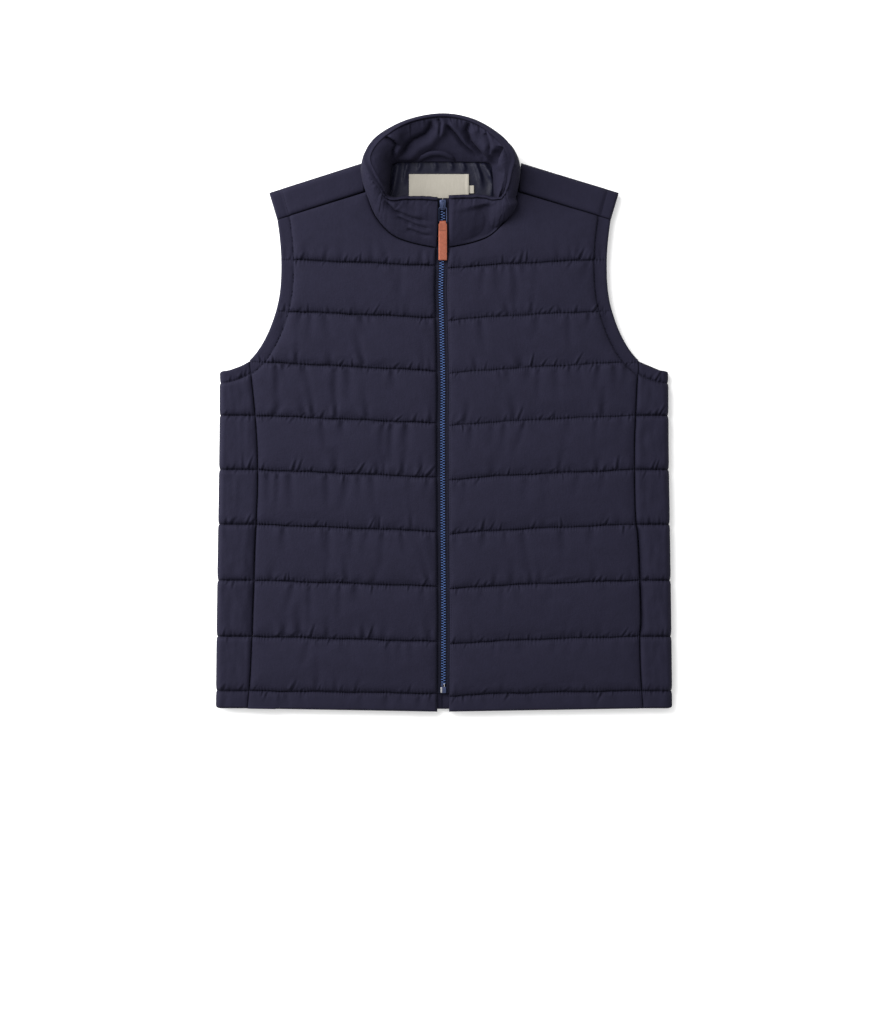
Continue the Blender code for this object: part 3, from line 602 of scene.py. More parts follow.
def piece(name, points, faces, look, body="garment", flat=None, cad=(), sharp=None):
    """A named piece that rides on a body; flat gives each point's place on the cut cloth."""
    points = np.asarray(points)
    mesh = bpy.data.meshes.new(name)
    mesh.from_pydata(points.tolist(), [], turned_out(faces, points))
    mesh.shade_smooth()
    if sharp:
        mesh.set_sharp_from_angle(angle=math.radians(sharp))
    mesh.materials.append(look)
    corner = np.empty(len(mesh.loops), np.int32)
    mesh.loops.foreach_get("vertex_index", corner)
    flat = points[:, :2] if flat is None else np.asarray(flat)
    layer = mesh.uv_layers.new(name="cloth")
    layer.uv.foreach_set("vector", flat[corner].astype(np.float32).ravel())
    obj = bpy.data.objects.new(name, mesh)
    bpy.context.scene.collection.objects.link(obj)
    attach(obj, body)
    if cad:
        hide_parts(*cad)
    return obj


def places(obj):
    """The points of a mesh as an array."""
    found = np.empty(len(obj.data.vertices) * 3, np.float32)
    obj.data.vertices.foreach_get("co", found)
    return found.reshape(-1, 3).astype(float)


# Filling of the quilted panels

FILL_FRAMES = 20
FILL_CAP = 0.0035
CUT_EASE = 0.040
# Unevenness of that ease: its size, and its lengths across and up a panel
EASE_WAVE = (0.009, 0.0093, 0.031)
# Least move that is scaled
STILL = 1e-9
# Blender's settings for the light outer cloth and the pressure of its filling
CLOTH = {
    "quality": 4,
    "mass": 0.06,
    "tension_stiffness": 12,
    "compression_stiffness": 12,
    "shear_stiffness": 5,
    "bending_stiffness": 0.03,
    "tension_damping": 8,
    "compression_damping": 8,
    "shear_damping": 8,
    "air_damping": 2,
    "use_pressure": True,
    "uniform_pressure_force": 1.2,
    "vertex_group_mass": "held",
}


def cloth_sheet(points, faces, held):
    """A sheet as a cloth object, cut a little wider than the panel; its held points stay in place."""
    mesh = bpy.data.meshes.new("sheet")
    mesh.from_pydata(points.tolist(), [], faces)
    obj = bpy.data.objects.new("sheet", mesh)
    bpy.context.scene.collection.objects.link(obj)
    group = obj.vertex_groups.new(name="held")
    group.add(np.flatnonzero(held).tolist(), 1.0, "REPLACE")
    obj.shape_key_add(name="laid")
    cut = obj.shape_key_add(name="cut")
    wide = points.copy()
    size, across, up = EASE_WAVE
    wide[:, 0] += CUT_EASE * (wide[:, 0] + size * np.sin(wide[:, 0] / across + wide[:, 1] / up))
    cut.data.foreach_set("co", wide.astype(np.float32).ravel())
    cloth = obj.modifiers.new("fill", "CLOTH")
    cloth.point_cache.frame_start = 1
    cloth.point_cache.frame_end = FILL_FRAMES
    cloth.collision_settings.use_collision = False
    for name, value in CLOTH.items():
        setattr(cloth.settings, name, value)
    cloth.settings.rest_shape_key = cut
    cloth.settings.effector_weights.gravity = 0
    return obj


def fill(sheets):
    """Swells sheets of (points, faces, held) by cloth simulation and returns their new points.

    Stitches and edges hold still, and pressure lifts the rest, so the spare width gathers between the lines.
    """
    scene = bpy.context.scene
    objects = [cloth_sheet(*sheet) for sheet in sheets]
    for number in range(1, FILL_FRAMES + 1):
        scene.frame_set(number)
    graph = bpy.context.evaluated_depsgraph_get()
    filled = []
    for obj, (points, _, _) in zip(objects, sheets):
        move = places(obj.evaluated_get(graph)) - points
        size = np.linalg.norm(move, axis=1, keepdims=True)
        filled.append(points + move * FILL_CAP * np.tanh(size / FILL_CAP) / np.maximum(size, STILL))
    for obj in objects:
        bpy.data.objects.remove(obj)
    scene.frame_set(1)
    return filled


def ridge_beside(t, share, place, width):
    """Ridge beside a trough of depth 1 at t = 0: a share of its depth, centred at -place."""
    return share * np.exp(-(((t + place) / width) ** 2))


# Soft folds that run from a stitch line into the channels beside it
FOLD_GAP = (0.0060, 0.0090)
FOLD_GAP_SHAPE = 1.4
FOLD_DEPTH = (0.0015, 0.0036)
FOLD_WIDTH = (0.0022, 0.0046)
FOLD_LENGTH = (0.0200, 0.0620)
FOLDS_BELOW = 0.58
# Their lean as (mean, spread), how far they bend and widen, where they start and how they fade
FOLD_LEAN = (0.05, 0.12)
FOLD_BEND = 0.004
FOLD_WIDEN = 0.5
FOLD_START = 0.10
FOLD_FADE = 0.8
FOLD_RIDGE = (0.5, 1.8, 1.4)
# How far inside a panel's edge they have their full depth
FOLD_INSIDE = 0.012
# Depth of these folds in each channel as a share, from the yoke down to the hem
FOLD_SHARE = {
    "left": (0.40, 0.43, 0.88, 0.95, 1.10, 0.64, 0.58, 0.76, 0.42, 0.50),
    "right": (0.40, 0.55, 0.80, 0.60, 0.56, 0.38, 0.56, 0.24, 0.20, 0.30),
}
FOLD_SEED = 20


def soft_folds(points, runs, shares, seed):
    """Height of the soft upright folds between stitch runs, at (x, y) points."""
    draw = np.random.default_rng(seed)
    height = np.zeros(len(points))
    for number, run in enumerate(runs):
        total = travel(run)[-1]
        at = draw.uniform(*FOLD_GAP)
        while at < total:
            way = -1 if draw.random() < FOLDS_BELOW else 1
            length = draw.uniform(*FOLD_LENGTH)
            width = draw.uniform(*FOLD_WIDTH)
            lean = draw.normal(*FOLD_LEAN)
            bend = FOLD_BEND * way * draw.normal()
            depth = draw.uniform(*FOLD_DEPTH) * shares[number + (way < 0)]
            away = points - point_at(run, at)
            s = way * away[:, 1] / length
            near = (s > 0) & (s < 1)
            s = s[near]
            t = (away[near, 0] - lean * away[near, 1] - bend * s * s) / (width * (1 + FOLD_WIDEN * s))
            section = ridge_beside(t, *FOLD_RIDGE) - np.exp(-(t**2))
            height[near] += depth * smooth(s / FOLD_START) * (1 - s) ** FOLD_FADE * section
            at += FOLD_GAP[0] + draw.gamma(FOLD_GAP_SHAPE, FOLD_GAP[1])
    return height


# Small creases that the thread pulls into the cloth beside a stitch line: where they start, and their gaps
PUCKER_FIRST = (0.003, 0.016)
PUCKER_GAP = 0.0040
PUCKER_GAP_SHAPE = 1.5
PUCKER_SPREAD = 0.0065
SIDE_SPREAD = 0.0020
# Their sizes; some are longer, and those below a line are shorter
PUCKER_LENGTH = (0.0055, 0.0135)
USUAL_LENGTH = 0.012
LONG_PUCKERS = 0.2
LONG_LENGTH = 1.9
LOWER_LENGTH = 0.8
PUCKER_WIDTH = (0.0009, 0.0016)
PUCKER_DEPTH = 0.0025
PUCKER_SHARE = (0.4, 1.0)
PUCKERS_ABOVE = 0.64
# Their lean and bend as (mean, spread), reach to the sides in widths, start and fade
PUCKER_LEAN = (0.42, 0.30)
PUCKER_BEND = (0.6, 0.8)
PUCKER_REACH = 6
PUCKER_START = 0.12
PUCKER_FADE = 1.2
PUCKER_RIDGE = (0.6, 2.1, 1.5)
PUCKER_SEED = 40
SIDE_SEED = 70
# Fine scallops along a stitch line: height, pitch, how far they reach and fade, and how they shift and vary
SERRATION = 0.00060
SERRATION_PITCH = 0.0036
SERRATION_REACH = 0.007
SERRATION_FADE = 0.0024
SERRATION_SHIFT = (3, 0.006)
SERRATION_BEAT = (0.8, 0.0171, 0.0053)


def pucker(points, start, draw):
    """Height of one small crease that starts at a stitch, at (x, y) points."""
    up = 1 if draw.random() < PUCKERS_ABOVE else -1
    length = draw.uniform(*PUCKER_LENGTH) * (LONG_LENGTH if draw.random() < LONG_PUCKERS else 1.0)
    length *= 1.0 if up > 0 else LOWER_LENGTH
    width = draw.uniform(*PUCKER_WIDTH)
    deep = PUCKER_DEPTH * draw.uniform(*PUCKER_SHARE) * math.sqrt(length / USUAL_LENGTH)
    axis = up * np.array([draw.normal(*PUCKER_LEAN), 1.0])
    axis /= np.linalg.norm(axis)
    away = points - start
    s = away @ axis / length
    t = (away @ np.array([axis[1], -axis[0]])) * up / width - draw.normal(*PUCKER_BEND) * s * np.abs(s)
    near = (s > 0) & (s < 1) & (np.abs(t) < PUCKER_REACH)
    s = s[near]
    t = t[near]
    section = ridge_beside(t, *PUCKER_RIDGE) - np.exp(-(t**2))
    height = np.zeros(len(points))
    height[near] = deep * smooth(s / PUCKER_START) * (1 - s) ** PUCKER_FADE * section
    return height


def serration(points, run, seed):
    """Height of the fine scallops along a stitch run, at (x, y) points."""
    above = points[:, 1] - np.interp(points[:, 0], *run[np.argsort(run[:, 0])].T)
    near = np.flatnonzero(np.abs(above) < SERRATION_REACH)
    x = points[near, 0]
    shift, shift_length = SERRATION_SHIFT
    beat, slow, quick = SERRATION_BEAT
    wave = np.sin(2 * math.pi * x / SERRATION_PITCH + shift * np.sin(x / shift_length + seed))
    wave *= 1 + beat * np.sin(x / slow + 2 * seed) * np.sin(x / quick)
    height = np.zeros(len(points))
    height[near] = SERRATION * wave * np.exp(-np.abs(above[near]) / SERRATION_FADE)
    return height


def puckers(points, runs, seed, spread=PUCKER_SPREAD):
    """Height of the small creases beside stitch runs, at (x, y) points; most lean to the right going up."""
    draw = np.random.default_rng(seed)
    height = np.zeros(len(points))
    for run in runs:
        total = travel(run)[-1]
        at = draw.uniform(*PUCKER_FIRST)
        while at < total - PUCKER_FIRST[0]:
            height += pucker(points, point_at(run, at), draw)
            at += PUCKER_GAP + draw.gamma(PUCKER_GAP_SHAPE, spread)
        height += serration(points, run, seed)
    return height


# Front panels

# Depth of each quilting line as a share, from the top down, and how far from the line it is eased
LINE_DEPTH = {
    "left": (1.00, 1.00, 0.92, 0.86, 0.86, 0.86, 0.84, 0.84, 1.00),
    "right": (0.82, 0.60, 0.50, 0.54, 0.72, 0.72, 0.76, 0.72, 1.00),
}
LINE_EASE = 0.0260
# Unevenness of the rise and of the crown: share, size, and for the rise its stretch and seed
UNEVEN_RISE = (0.4, 0.021, (1, 0.25), 2.0)
UNEVEN_CROWN = (0.06, 0.045)
# Share of its height that the armhole band keeps at a quilting line
BAND_KEPT = 0.5
# Points of the straight hem that are passed over when distances from it are taken
HEM_SKIP = 20
# Gap left at both ends of a quilting line, and how near a point counts as on a stitch
LINE_END = 0.0006
ON_STITCH = 2e-5
# Sewing beside the front edges: its distance from them, its lower end above the hem and its upper end
EDGE_SEWING = 0.0022
ZIP_EDGE_FOOT = 0.003
ZIP_EDGE_TOP = 0.2030


def front_lines(side):
    """Edge lines of one front panel from the hem round to the zip, its outline, and the whole armhole."""
    edge = FRONT_EDGE[side]
    neck = neckline(side, edge, STEP)
    arm = spline(ARMHOLE, STEP)
    seam = side_seam(side, STEP)[::-1]
    from_end = np.minimum(POCKET_TOP - seam[:, 1], seam[:, 1] - POCKET_BOTTOM)
    seam[:, 0] -= SEAM_GAP / 2 + POCKET_OPEN * np.clip(from_end / POCKET_TAPER, 0, 1)
    free = (arm[:, 1] > seam[-1, 1] + STEP) & (arm[:, 1] < SHOULDER_SEAM_AT_ARM[1] - STEP)
    lines = {
        "hem": straight((edge, HEM_AT_ZIP), seam[0], STEP),
        "seam": seam,
        "arm": np.vstack([seam[-1:], arm[free][::-1], [SHOULDER_SEAM_AT_ARM]]),
        "shoulder": straight(SHOULDER_SEAM_AT_ARM, neck[0], STEP),
        "neck": neck,
        "zip": straight(neck[-1], (edge, HEM_AT_ZIP), STEP),
    }
    return lines, np.vstack([line[:-1] for line in lines.values()]), arm


def front_runs(side, lines, outline, arm):
    """Stitch runs of a front panel, the armhole's first, and rows of points beside them and its edges."""
    band = offset(arm, BAND)
    runs = [band[inside(band, outline)]]
    beside = [offset(runs[0], sign * gap) for gap in BESIDE_STITCH for sign in (-1, 1)]
    beside += [offset(closed(outline), -gap) for gap in BESIDE_EDGE]
    for n, row in enumerate(QUILT):
        outer = min(half_at(arm, row[1]), half_at(lines["seam"], row[1]))
        half = np.arange(FRONT_EDGE[side] + LINE_END, outer - LINE_END, NEAR_SPACING)
        runs.append(np.stack([half, line_y(side, n, half)], axis=1))
        beside += [runs[-1] + [0, sign * gap] for gap in BESIDE_STITCH for sign in (-1, 1)]
    return runs, np.vstack(beside)


def line_rows(side, points):
    """Height of each quilting line, one a row, at the half width of each (half, y) point."""
    return np.array([line_y(side, n, points[:, 0]) for n in range(len(QUILT))])


def from_lines(side, points):
    """How far each (half, y) point is below the quilting line over it, and above the line under it."""
    y = points[:, 1]
    rows = line_rows(side, points)
    above = np.where(rows >= y, rows - y, np.inf).min(axis=0)
    below = np.where(rows < y, y - rows, np.inf).min(axis=0)
    return above, below


def channel_rise(side, points, lines, in_band):
    """Rise of a front's cloth between its quilting lines, from 0 to 1, and which points are in the hem."""
    above, below = from_lines(side, points)
    top = distance_to(points, np.vstack([lines["shoulder"], lines["neck"]])[::3])
    above = np.where(np.isinf(above), top + AT_NECK, above)
    in_hem = np.isinf(below)
    below = np.where(in_hem, RISE_ABOVE, below)
    share, size, stretch, seed = UNEVEN_RISE
    uneven = 1 + share * rough(points * stretch, size, seed + SIDES[side])
    across = rise(above, RISE_BELOW * uneven) * rise(below, RISE_ABOVE * uneven)
    middle = np.sqrt(4 * above * below) / (above + below)
    across *= np.where(in_hem, 1, at_least(RISE_SHARE, middle))
    across = np.where(in_band, at_least(BAND_KEPT, across), across)
    gaps = np.abs(line_rows(side, points) - points[:, 1])
    shallow = 1 - np.asarray(LINE_DEPTH[side])[gaps.argmin(axis=0)]
    across += shallow * smooth(1 - gaps.min(axis=0) / LINE_EASE) * (1 - across)
    return across, in_hem


def seam_rise(points, lines, in_band, to_band, to_zip):
    """Rise of a front's cloth away from its side seam, its armhole stitch and the zip, from 0 to 1."""
    to_seam = distance_to(points, lines["seam"][::3])
    at_seam = AT_SEAM + (AT_MOUTH - AT_SEAM) * mouth_at(points[:, 1])
    panel = at_least(AT_SEAM, rise(to_band, SEAM_REACH)) * at_least(at_seam, rise(to_seam, SEAM_REACH))
    along = np.where(in_band, at_least(AT_SEAM, rise(to_band, BAND_REACH)), panel)
    return along * at_least(AT_ZIP, rise(to_zip, SEAM_REACH))


def front_height(side, points, lines, arm):
    """Thickness of a filled front panel at each (half, y) point."""
    to_arm = distance_to(points, arm[::2])
    to_band = distance_to(points, offset(arm, BAND)[::2])
    to_hem = distance_to(points, lines["hem"][::HEM_SKIP])
    to_zip = points[:, 0] - FRONT_EDGE[side]
    in_band = to_arm < BAND
    across, in_hem = channel_rise(side, points, lines, in_band)
    along = seam_rise(points, lines, in_band, to_band, to_zip)
    share, size = UNEVEN_CROWN
    crown = np.where(in_hem, HEM_CROWN, np.where(in_band, BAND_CROWN, AT_CROWN))
    crown = crown * (1 + share * rough(points, size, SIDES[side]))
    free = np.minimum(np.minimum(to_arm, to_hem), to_zip)
    return (AT_STITCH + (crown - AT_STITCH) * across * along) * at_least(AT_EDGE, rise(free, EDGE_ROUND))


def on_stitch(side, points, arm):
    """Which (half, y) points of a front panel lie on its stitch lines."""
    near = np.abs(line_rows(side, points) - points[:, 1]).min(axis=0)
    return (near < ON_STITCH) | (distance_to(points, offset(arm, BAND)) < ON_STITCH)


def on_surface(run, surface):
    """A run of (x, y) points laid on a surface of (x, y, z) points."""
    tree = tree_of(surface)
    z = [surface[tree.find((x, y, 0))[1], 2] for x, y in run[:, :2]]
    return np.column_stack([run[:, :2], z])


def front_sheet(side):
    """One front panel before filling, as (points, faces, held), and its stitch runs as (x, y) points."""
    turn = np.array([SIDES[side], 1])
    lines, outline, arm = front_lines(side)
    runs, beside = front_runs(side, lines, outline, arm)
    corners = outline.min(axis=0), outline.max(axis=0)
    near = hexagonal(*corners, NEAR_SPACING)
    above, below = from_lines(side, near)
    near = near[(below < NEAR_ABOVE) | (above < NEAR_BELOW)]
    wide = hexagonal(*corners, PANEL_SPACING)
    batches = (
        (beside, BESIDE_STITCH[0] / 2),
        (near, CLEAR * NEAR_SPACING),
        (wide, CLEAR * PANEL_SPACING),
    )
    points, faces = triangulate(outline, runs, batches)
    height = front_height(side, points, lines, arm)
    held = on_stitch(side, points, arm)
    held[rim_of(faces)] = True
    inner = smooth(distance_to(points, closed(outline)[::2]) / FOLD_INSIDE)
    runs = [run * turn for run in runs]
    height += inner * soft_folds(points * turn, runs[1:], FOLD_SHARE[side], FOLD_SEED + SIDES[side])
    points = np.column_stack([points * turn, FRONT_FLOOR + np.maximum(height, THINNEST)])
    faces = [face[::-1] for face in faces] if SIDES[side] < 0 else faces
    return (points, faces, held), runs


def front_panel(side, sheet, runs, filled, look):
    """One filled front panel; returns its stitch runs as (x, y, z) paths."""
    start, faces, held = sheet
    points, flat, faces = refine(filled, start[:, :2], faces, held)
    dent = puckers(points[:, :2], runs[1:], PUCKER_SEED + SIDES[side])
    dent[rim_of(faces)] = 0
    points[:, 2] = np.maximum(points[:, 2] + dent, FRONT_FLOOR + THINNEST)
    points = swayed(points)
    edge_x = SIDES[side] * (FRONT_EDGE[side] + EDGE_SEWING)
    beside_zip = straight((edge_x, HEM_AT_ZIP + ZIP_EDGE_FOOT), (edge_x, ZIP_EDGE_TOP), STEP)
    paths = [on_surface(swayed(run), points) for run in [*runs, beside_zip]]
    solid, faces, rim = closed_over(points, faces, FRONT_FLOOR)
    flat = np.vstack([flat, flat[rim]])
    name = "front_" + side
    obj = piece(name + "_quilted", solid, faces, look, flat=flat, cad=[name])
    return paths


def fronts(look):
    """Both filled front panels; returns the stitch runs of each side as (x, y, z) paths."""
    laid = {side: front_sheet(side) for side in SIDES}
    sheets = [sheet for sheet, _ in laid.values()]
    filled = fill(sheets)
    return {side: front_panel(side, *laid[side], points, look) for side, points in zip(SIDES, filled)}


# Sections of what is folded over: side panels and shoulders

FOLD_ANGLES = np.radians(np.linspace(0, 180, 19)[1:])
# Thickness left at an open end of a section, as a share
AT_END = 0.3


def half_turn(at, reach, middle):
    """The round of a fold from its top to the floor, as (across, z) points."""
    return np.column_stack([at + reach * np.sin(FOLD_ANGLES), middle + middle * np.cos(FOLD_ANGLES)])


def squeezed(ring, middle, end_gap):
    """A section drawn in to its middle height near an open end."""
    ring[:, 1] = middle + (ring[:, 1] - middle) * at_least(AT_END, rise(end_gap, EDGE_ROUND))
    return ring


# Side panels

SIDE_STEP = 0.0012
# Distance that counts as far from an end or a stitch
FAR = 1.0
# Points across the front leaf as shares, and along the underside
SIDE_SHARES = np.concatenate([np.linspace(0, 0.3, 15), np.linspace(0.3, 1, 25)[1:]])
UNDER_POINTS = 12
# Heights of the edge at the seam, and how far up the grooves of the underside reach
SIDE_WALL = (0.0030, 0.0070, FRONT_FLOOR)
GROOVE_UP = 0.004
# How much less full the leaf is at a pocket mouth, and how the armhole bends across the panel
MOUTH_LESS = 0.8
ARMHOLE_BEND = 1.8
# Ends of a stitch run short of the seam and of the fold, and its points
RUN_ENDS = (0.0008, 0.0015)
RUN_POINTS = 28
# Soft unevenness of the leaf: height, size, stretch of its second part, and seeds
SIDE_WAVE = 0.00060
SIDE_WAVE_SIZE = 0.016
SIDE_WAVE_STRETCH = (2.2, 0.7)
SIDE_WAVE_SEEDS = (3.0, 9.0)
# How far up the leaf and in from the seam the creases have their full height
LEAF_UP = 0.002
LEAF_IN = 0.003


def side_levels():
    """Rings up a side panel, from the hem to the armhole.

    Each is (height at seam, height at fold, rise, crown, distance from an end, distance from a stitch).
    """
    marks = [(HEM_AT_SIDE, HEM_AT_SIDE)] + [(row[1], row[1]) for row in QUILT[:2:-1]] + list(SIDE_BAND)
    levels = []
    for n, (low, high) in enumerate(zip(marks, marks[1:])):
        first = n == 0
        last = n == len(marks) - 2
        height = high[0] - low[0]
        count = round(height / SIDE_STEP)
        crown = HEM_CROWN if first else (BAND_CROWN if last else AT_CROWN)
        for k in range(count + last):
            share = k / count
            up = share * height
            down = (1 - share) * height
            lift = rise(height if last else down, RISE_BELOW) * rise(height if first else up, RISE_ABOVE)
            end_gap = up if first else (down if last else FAR)
            line_gap = min(FAR if first else up, FAR if last else down)
            levels.append((low[0] + up, low[1] + share * (high[1] - low[1]), lift, crown, end_gap, line_gap))
    return levels


def side_ring(seam_half, fold_half, lift, crown, end_gap, line_gap, mouth):
    """Section of a side panel as a closed ring of (half, z): front leaf, fold, underside and seam edge."""
    start = seam_half + SEAM_GAP / 2
    corner = CORNER_ROUND * (1 - rise(end_gap, CORNER_ROUND, QUARTER_ROUND))
    end = fold_half - FOLD_NOTCH * (1 - lift) - corner
    turn = end - FOLD_RADIUS
    across = SIDE_SHARES * (turn - start)
    swell = rise(across, SEAM_REACH * (1 + mouth), FULLNESS - MOUTH_LESS * mouth)
    thick = AT_STITCH + (crown - AT_STITCH) * lift * at_least(AT_SEAM * (1 - mouth), swell)
    leaf = np.column_stack([start + across, FRONT_FLOOR + thick])
    middle = leaf[-1, 1] / 2
    under = columns(np.linspace(turn, start, UNDER_POINTS)[1:], 0.0)
    ring = np.vstack([leaf, half_turn(turn, FOLD_RADIUS, middle), under, columns(start, SIDE_WALL)])
    ring = squeezed(ring, middle, end_gap)
    ring[:, 1] += groove(line_gap) * np.clip(1 - ring[:, 1] / GROOVE_UP, 0, 1)
    return ring


def bent(share):
    """Fall of the armhole across a side panel: steep at the seam, flat at the fold."""
    return 1 - (1 - np.clip(share, 0, 1)) ** ARMHOLE_BEND


def side_panel(side, look):
    """One filled side panel folded round the side edge; returns its stitch runs as (x, y, z) paths."""
    sign = SIDES[side]
    seam = side_seam(side, STEP)
    fold = spline(SIDE_FOLD, STEP)
    rings = []
    flats = []
    runs = []
    for seam_y, fold_y, lift, crown, end_gap, line_gap in side_levels():
        halves = half_at(seam, seam_y), half_at(fold, fold_y)
        ring = side_ring(*halves, lift, crown, end_gap, line_gap, mouth_at(seam_y))
        start = ring[0, 0]
        end = ring[:, 0].max()
        y = seam_y + bent((ring[:, 0] - start) / (end - start)) * (fold_y - seam_y)
        rings.append(np.column_stack([sign * ring[:, 0], y, ring[:, 1]]))
        flats.append(np.column_stack([travel(ring), y]))
        if line_gap < STILL:
            half = np.linspace(start + RUN_ENDS[0], end - RUN_ENDS[1], RUN_POINTS)
            y = seam_y + bent((half - start) / (end - start)) * (fold_y - seam_y)
            runs.append(np.column_stack([sign * half, y]))
    points, faces = loft(rings)
    place = points[:, :2]
    leaf = smooth((points[:, 2] - FRONT_FLOOR) / LEAF_UP)
    leaf *= smooth((np.abs(points[:, 0]) - half_at(seam, points[:, 1])) / LEAF_IN)
    wave = rough(place, SIDE_WAVE_SIZE, SIDE_WAVE_SEEDS[0] * sign)
    wave += rough(place * SIDE_WAVE_STRETCH, SIDE_WAVE_SIZE, SIDE_WAVE_SEEDS[1] * sign)
    points[:, 2] += leaf * (puckers(place, runs, SIDE_SEED + sign, SIDE_SPREAD) + SIDE_WAVE * wave)
    name = "side_" + side
    obj = piece(name + "_quilted", points, faces, look, flat=np.vstack(flats), cad=[name])
    tops = places(obj)
    tops = tops[tops[:, 2] > FRONT_FLOOR]
    return [on_surface(run, tops) for run in runs]


# Back panel with its parts over the shoulders

# Spacing of the outline's points, along the armholes and elsewhere
ARM_STEP = 0.005
BACK_STEP = 0.006
# Which stretch of the armhole is free, above the side seam and below the shoulder tip
ARM_ABOVE = 0.004
ARM_BELOW = 0.014
# How far the outline keeps inside the tip, the shoulder fold, the neck seam and the hem
TIP_IN = 0.0005
RIDGE_IN = 0.012
NECK_IN = 0.0022
HEM_IN = 0.003
# Least distance between neighbours of the outline
OUTLINE_GAP = 0.001
# Rows of points beside the quilting grooves: half width of the back, spacing, and distances from a line
GROOVE_HALF = 0.24
GROOVE_STEP = 0.004
GROOVE_ROWS = (-0.004, -0.002, 0, 0.002, 0.004)
# Rows of points inside the edge, spacing of the rest, and how far each kind keeps from others
EDGE_ROWS = (0.0007, 0.0018, 0.0032)
BACK_SPACING = 0.0075
ROW_CLEAR = 0.0004
BACK_CLEAR = 0.0056
BACK_ROUND = 0.0045
# Fold in the inside hem of the back, under the foot of the zip: place, width, depth and top
HEM_FOLD = (-0.0020, 0.0007, 0.0018, -0.3420)
HEM_FOLD_FOOT = 0.004
HEM_FOLD_STEP = 0.0012
HEM_FOLD_FADE = 0.004


def shoulder_root(side):
    """Inner end of a shoulder's fold, at the neck, as (half, y)."""
    return np.array([neck_half(side, SHOULDER_AT_NECK[0]), SHOULDER_AT_NECK[1]])


def back_outline():
    """Outline of the flat part of the back as (x, y) points, up to the shoulder folds and the neck seam."""
    tip = np.asarray(SHOULDER_AT_TIP)
    arm = spline(ARMHOLE, ARM_STEP)
    arm = arm[(arm[:, 1] > SIDE_SEAM[0][1] + ARM_ABOVE) & (arm[:, 1] < tip[1] - ARM_BELOW)]
    halves = {}
    for side in SIDES:
        seam = side_seam(side, BACK_STEP) - [SEAM_GAP / 2, 0]
        root = shoulder_root(side)
        along = tip - root
        inward = np.array([along[1], -along[0]]) / np.linalg.norm(along) * (SHOULDER_FOLD_RADIUS + SEAM_GAP)
        ridge = straight(tip + inward - [TIP_IN, 0], root + inward, BACK_STEP)
        neck = spline(np.asarray(COLLAR_SEAM)[FRONT_ROWS:, :2], BACK_STEP)
        neck[:, 0] = neck_half(side, neck[:, 0])
        neck = neck[neck[:, 0] < ridge[-1, 0] - RIDGE_IN] - [0, NECK_IN]
        hem = straight((0, HEM_AT_ZIP + HEM_IN), seam[-1], BACK_STEP)
        halves[side] = np.vstack([hem[:-1], seam[::-1], arm[::-1], ridge, neck])
    left = halves["left"][1:] * [-1, 1]
    return np.vstack([halves["right"], left[::-1]])


def back_rows(ring, levels):
    """Rows of points over the back: beside its grooves, inside its edge and along the fold in its hem."""
    across = np.arange(-GROOVE_HALF, GROOVE_HALF, GROOVE_STEP)
    rows = [columns(across, y + gap) for y in levels for gap in GROOVE_ROWS]
    rows += [offset(ring, -gap) for gap in EDGE_ROWS]
    fold_x, width, _, top = HEM_FOLD
    for k in (-2, -1, 0, 1, 2):
        x = fold_x + k * width
        rows.append(straight((x, HEM_AT_ZIP + HEM_FOLD_FOOT), (x, top), HEM_FOLD_STEP))
    return np.vstack(rows)


def back_panel(look):
    """The flat padded back, quilted underneath, with rounded edges."""
    outline = back_outline()
    outline = outline[np.linalg.norm(outline - np.roll(outline, 1, axis=0), axis=1) > OUTLINE_GAP]
    ring = closed(outline)
    levels = np.array([row[1] for row in QUILT])
    grid = hexagonal(outline.min(axis=0), outline.max(axis=0), BACK_SPACING)
    batches = ((back_rows(ring, levels), ROW_CLEAR), (grid, BACK_CLEAR))
    points, faces = triangulate(outline, [], batches)
    x, y = points.T
    half = BACK_THICKNESS / 2
    full = half * rise(distance_to(points, ring), BACK_ROUND, QUARTER_ROUND)
    bottom = half - full + groove(np.abs(y[:, None] - levels).min(axis=1))
    fold_x, width, depth, fold_top = HEM_FOLD
    hem_fold = np.exp(-(((x - fold_x) / width) ** 2)) * smooth((fold_top - y) / HEM_FOLD_FADE)
    top = half + full * (1 - depth / half * hem_fold)
    points, faces = two_sided(points, faces, top, np.minimum(bottom, half))
    obj = piece("back_padded", points, faces, look, cad=["back"])


# Parts of the back over the shoulders

# Gap from the collar's seam to the shoulder's inner end, sections along the shoulder, and points across one
SHOULDER_IN = 0.0050
SHOULDER_SECTIONS = 76
SHOULDER_SHARES = np.concatenate([np.linspace(0, 0.25, 8), np.linspace(0.25, 1, 16)[1:]])
# Share of the crown at a stitch, and the rise away from the neck as (start, reach)
SHOULDER_LEAST = 0.6
SHOULDER_RISE = (0.004, 0.02)
# Foot of the section: where it leaves the fold, its rounding and its points
SEAT_UP = 0.004
SEAT_ROUND = 0.001
SEAT_POINTS = 10
# Points of a section that the armhole stitch runs along
SEWN_POINTS = 34
# Soft unevenness of the outside: height, size, seed and how far up it is full
SHOULDER_WAVE = (0.0004, 0.02, 5.0, 0.003)


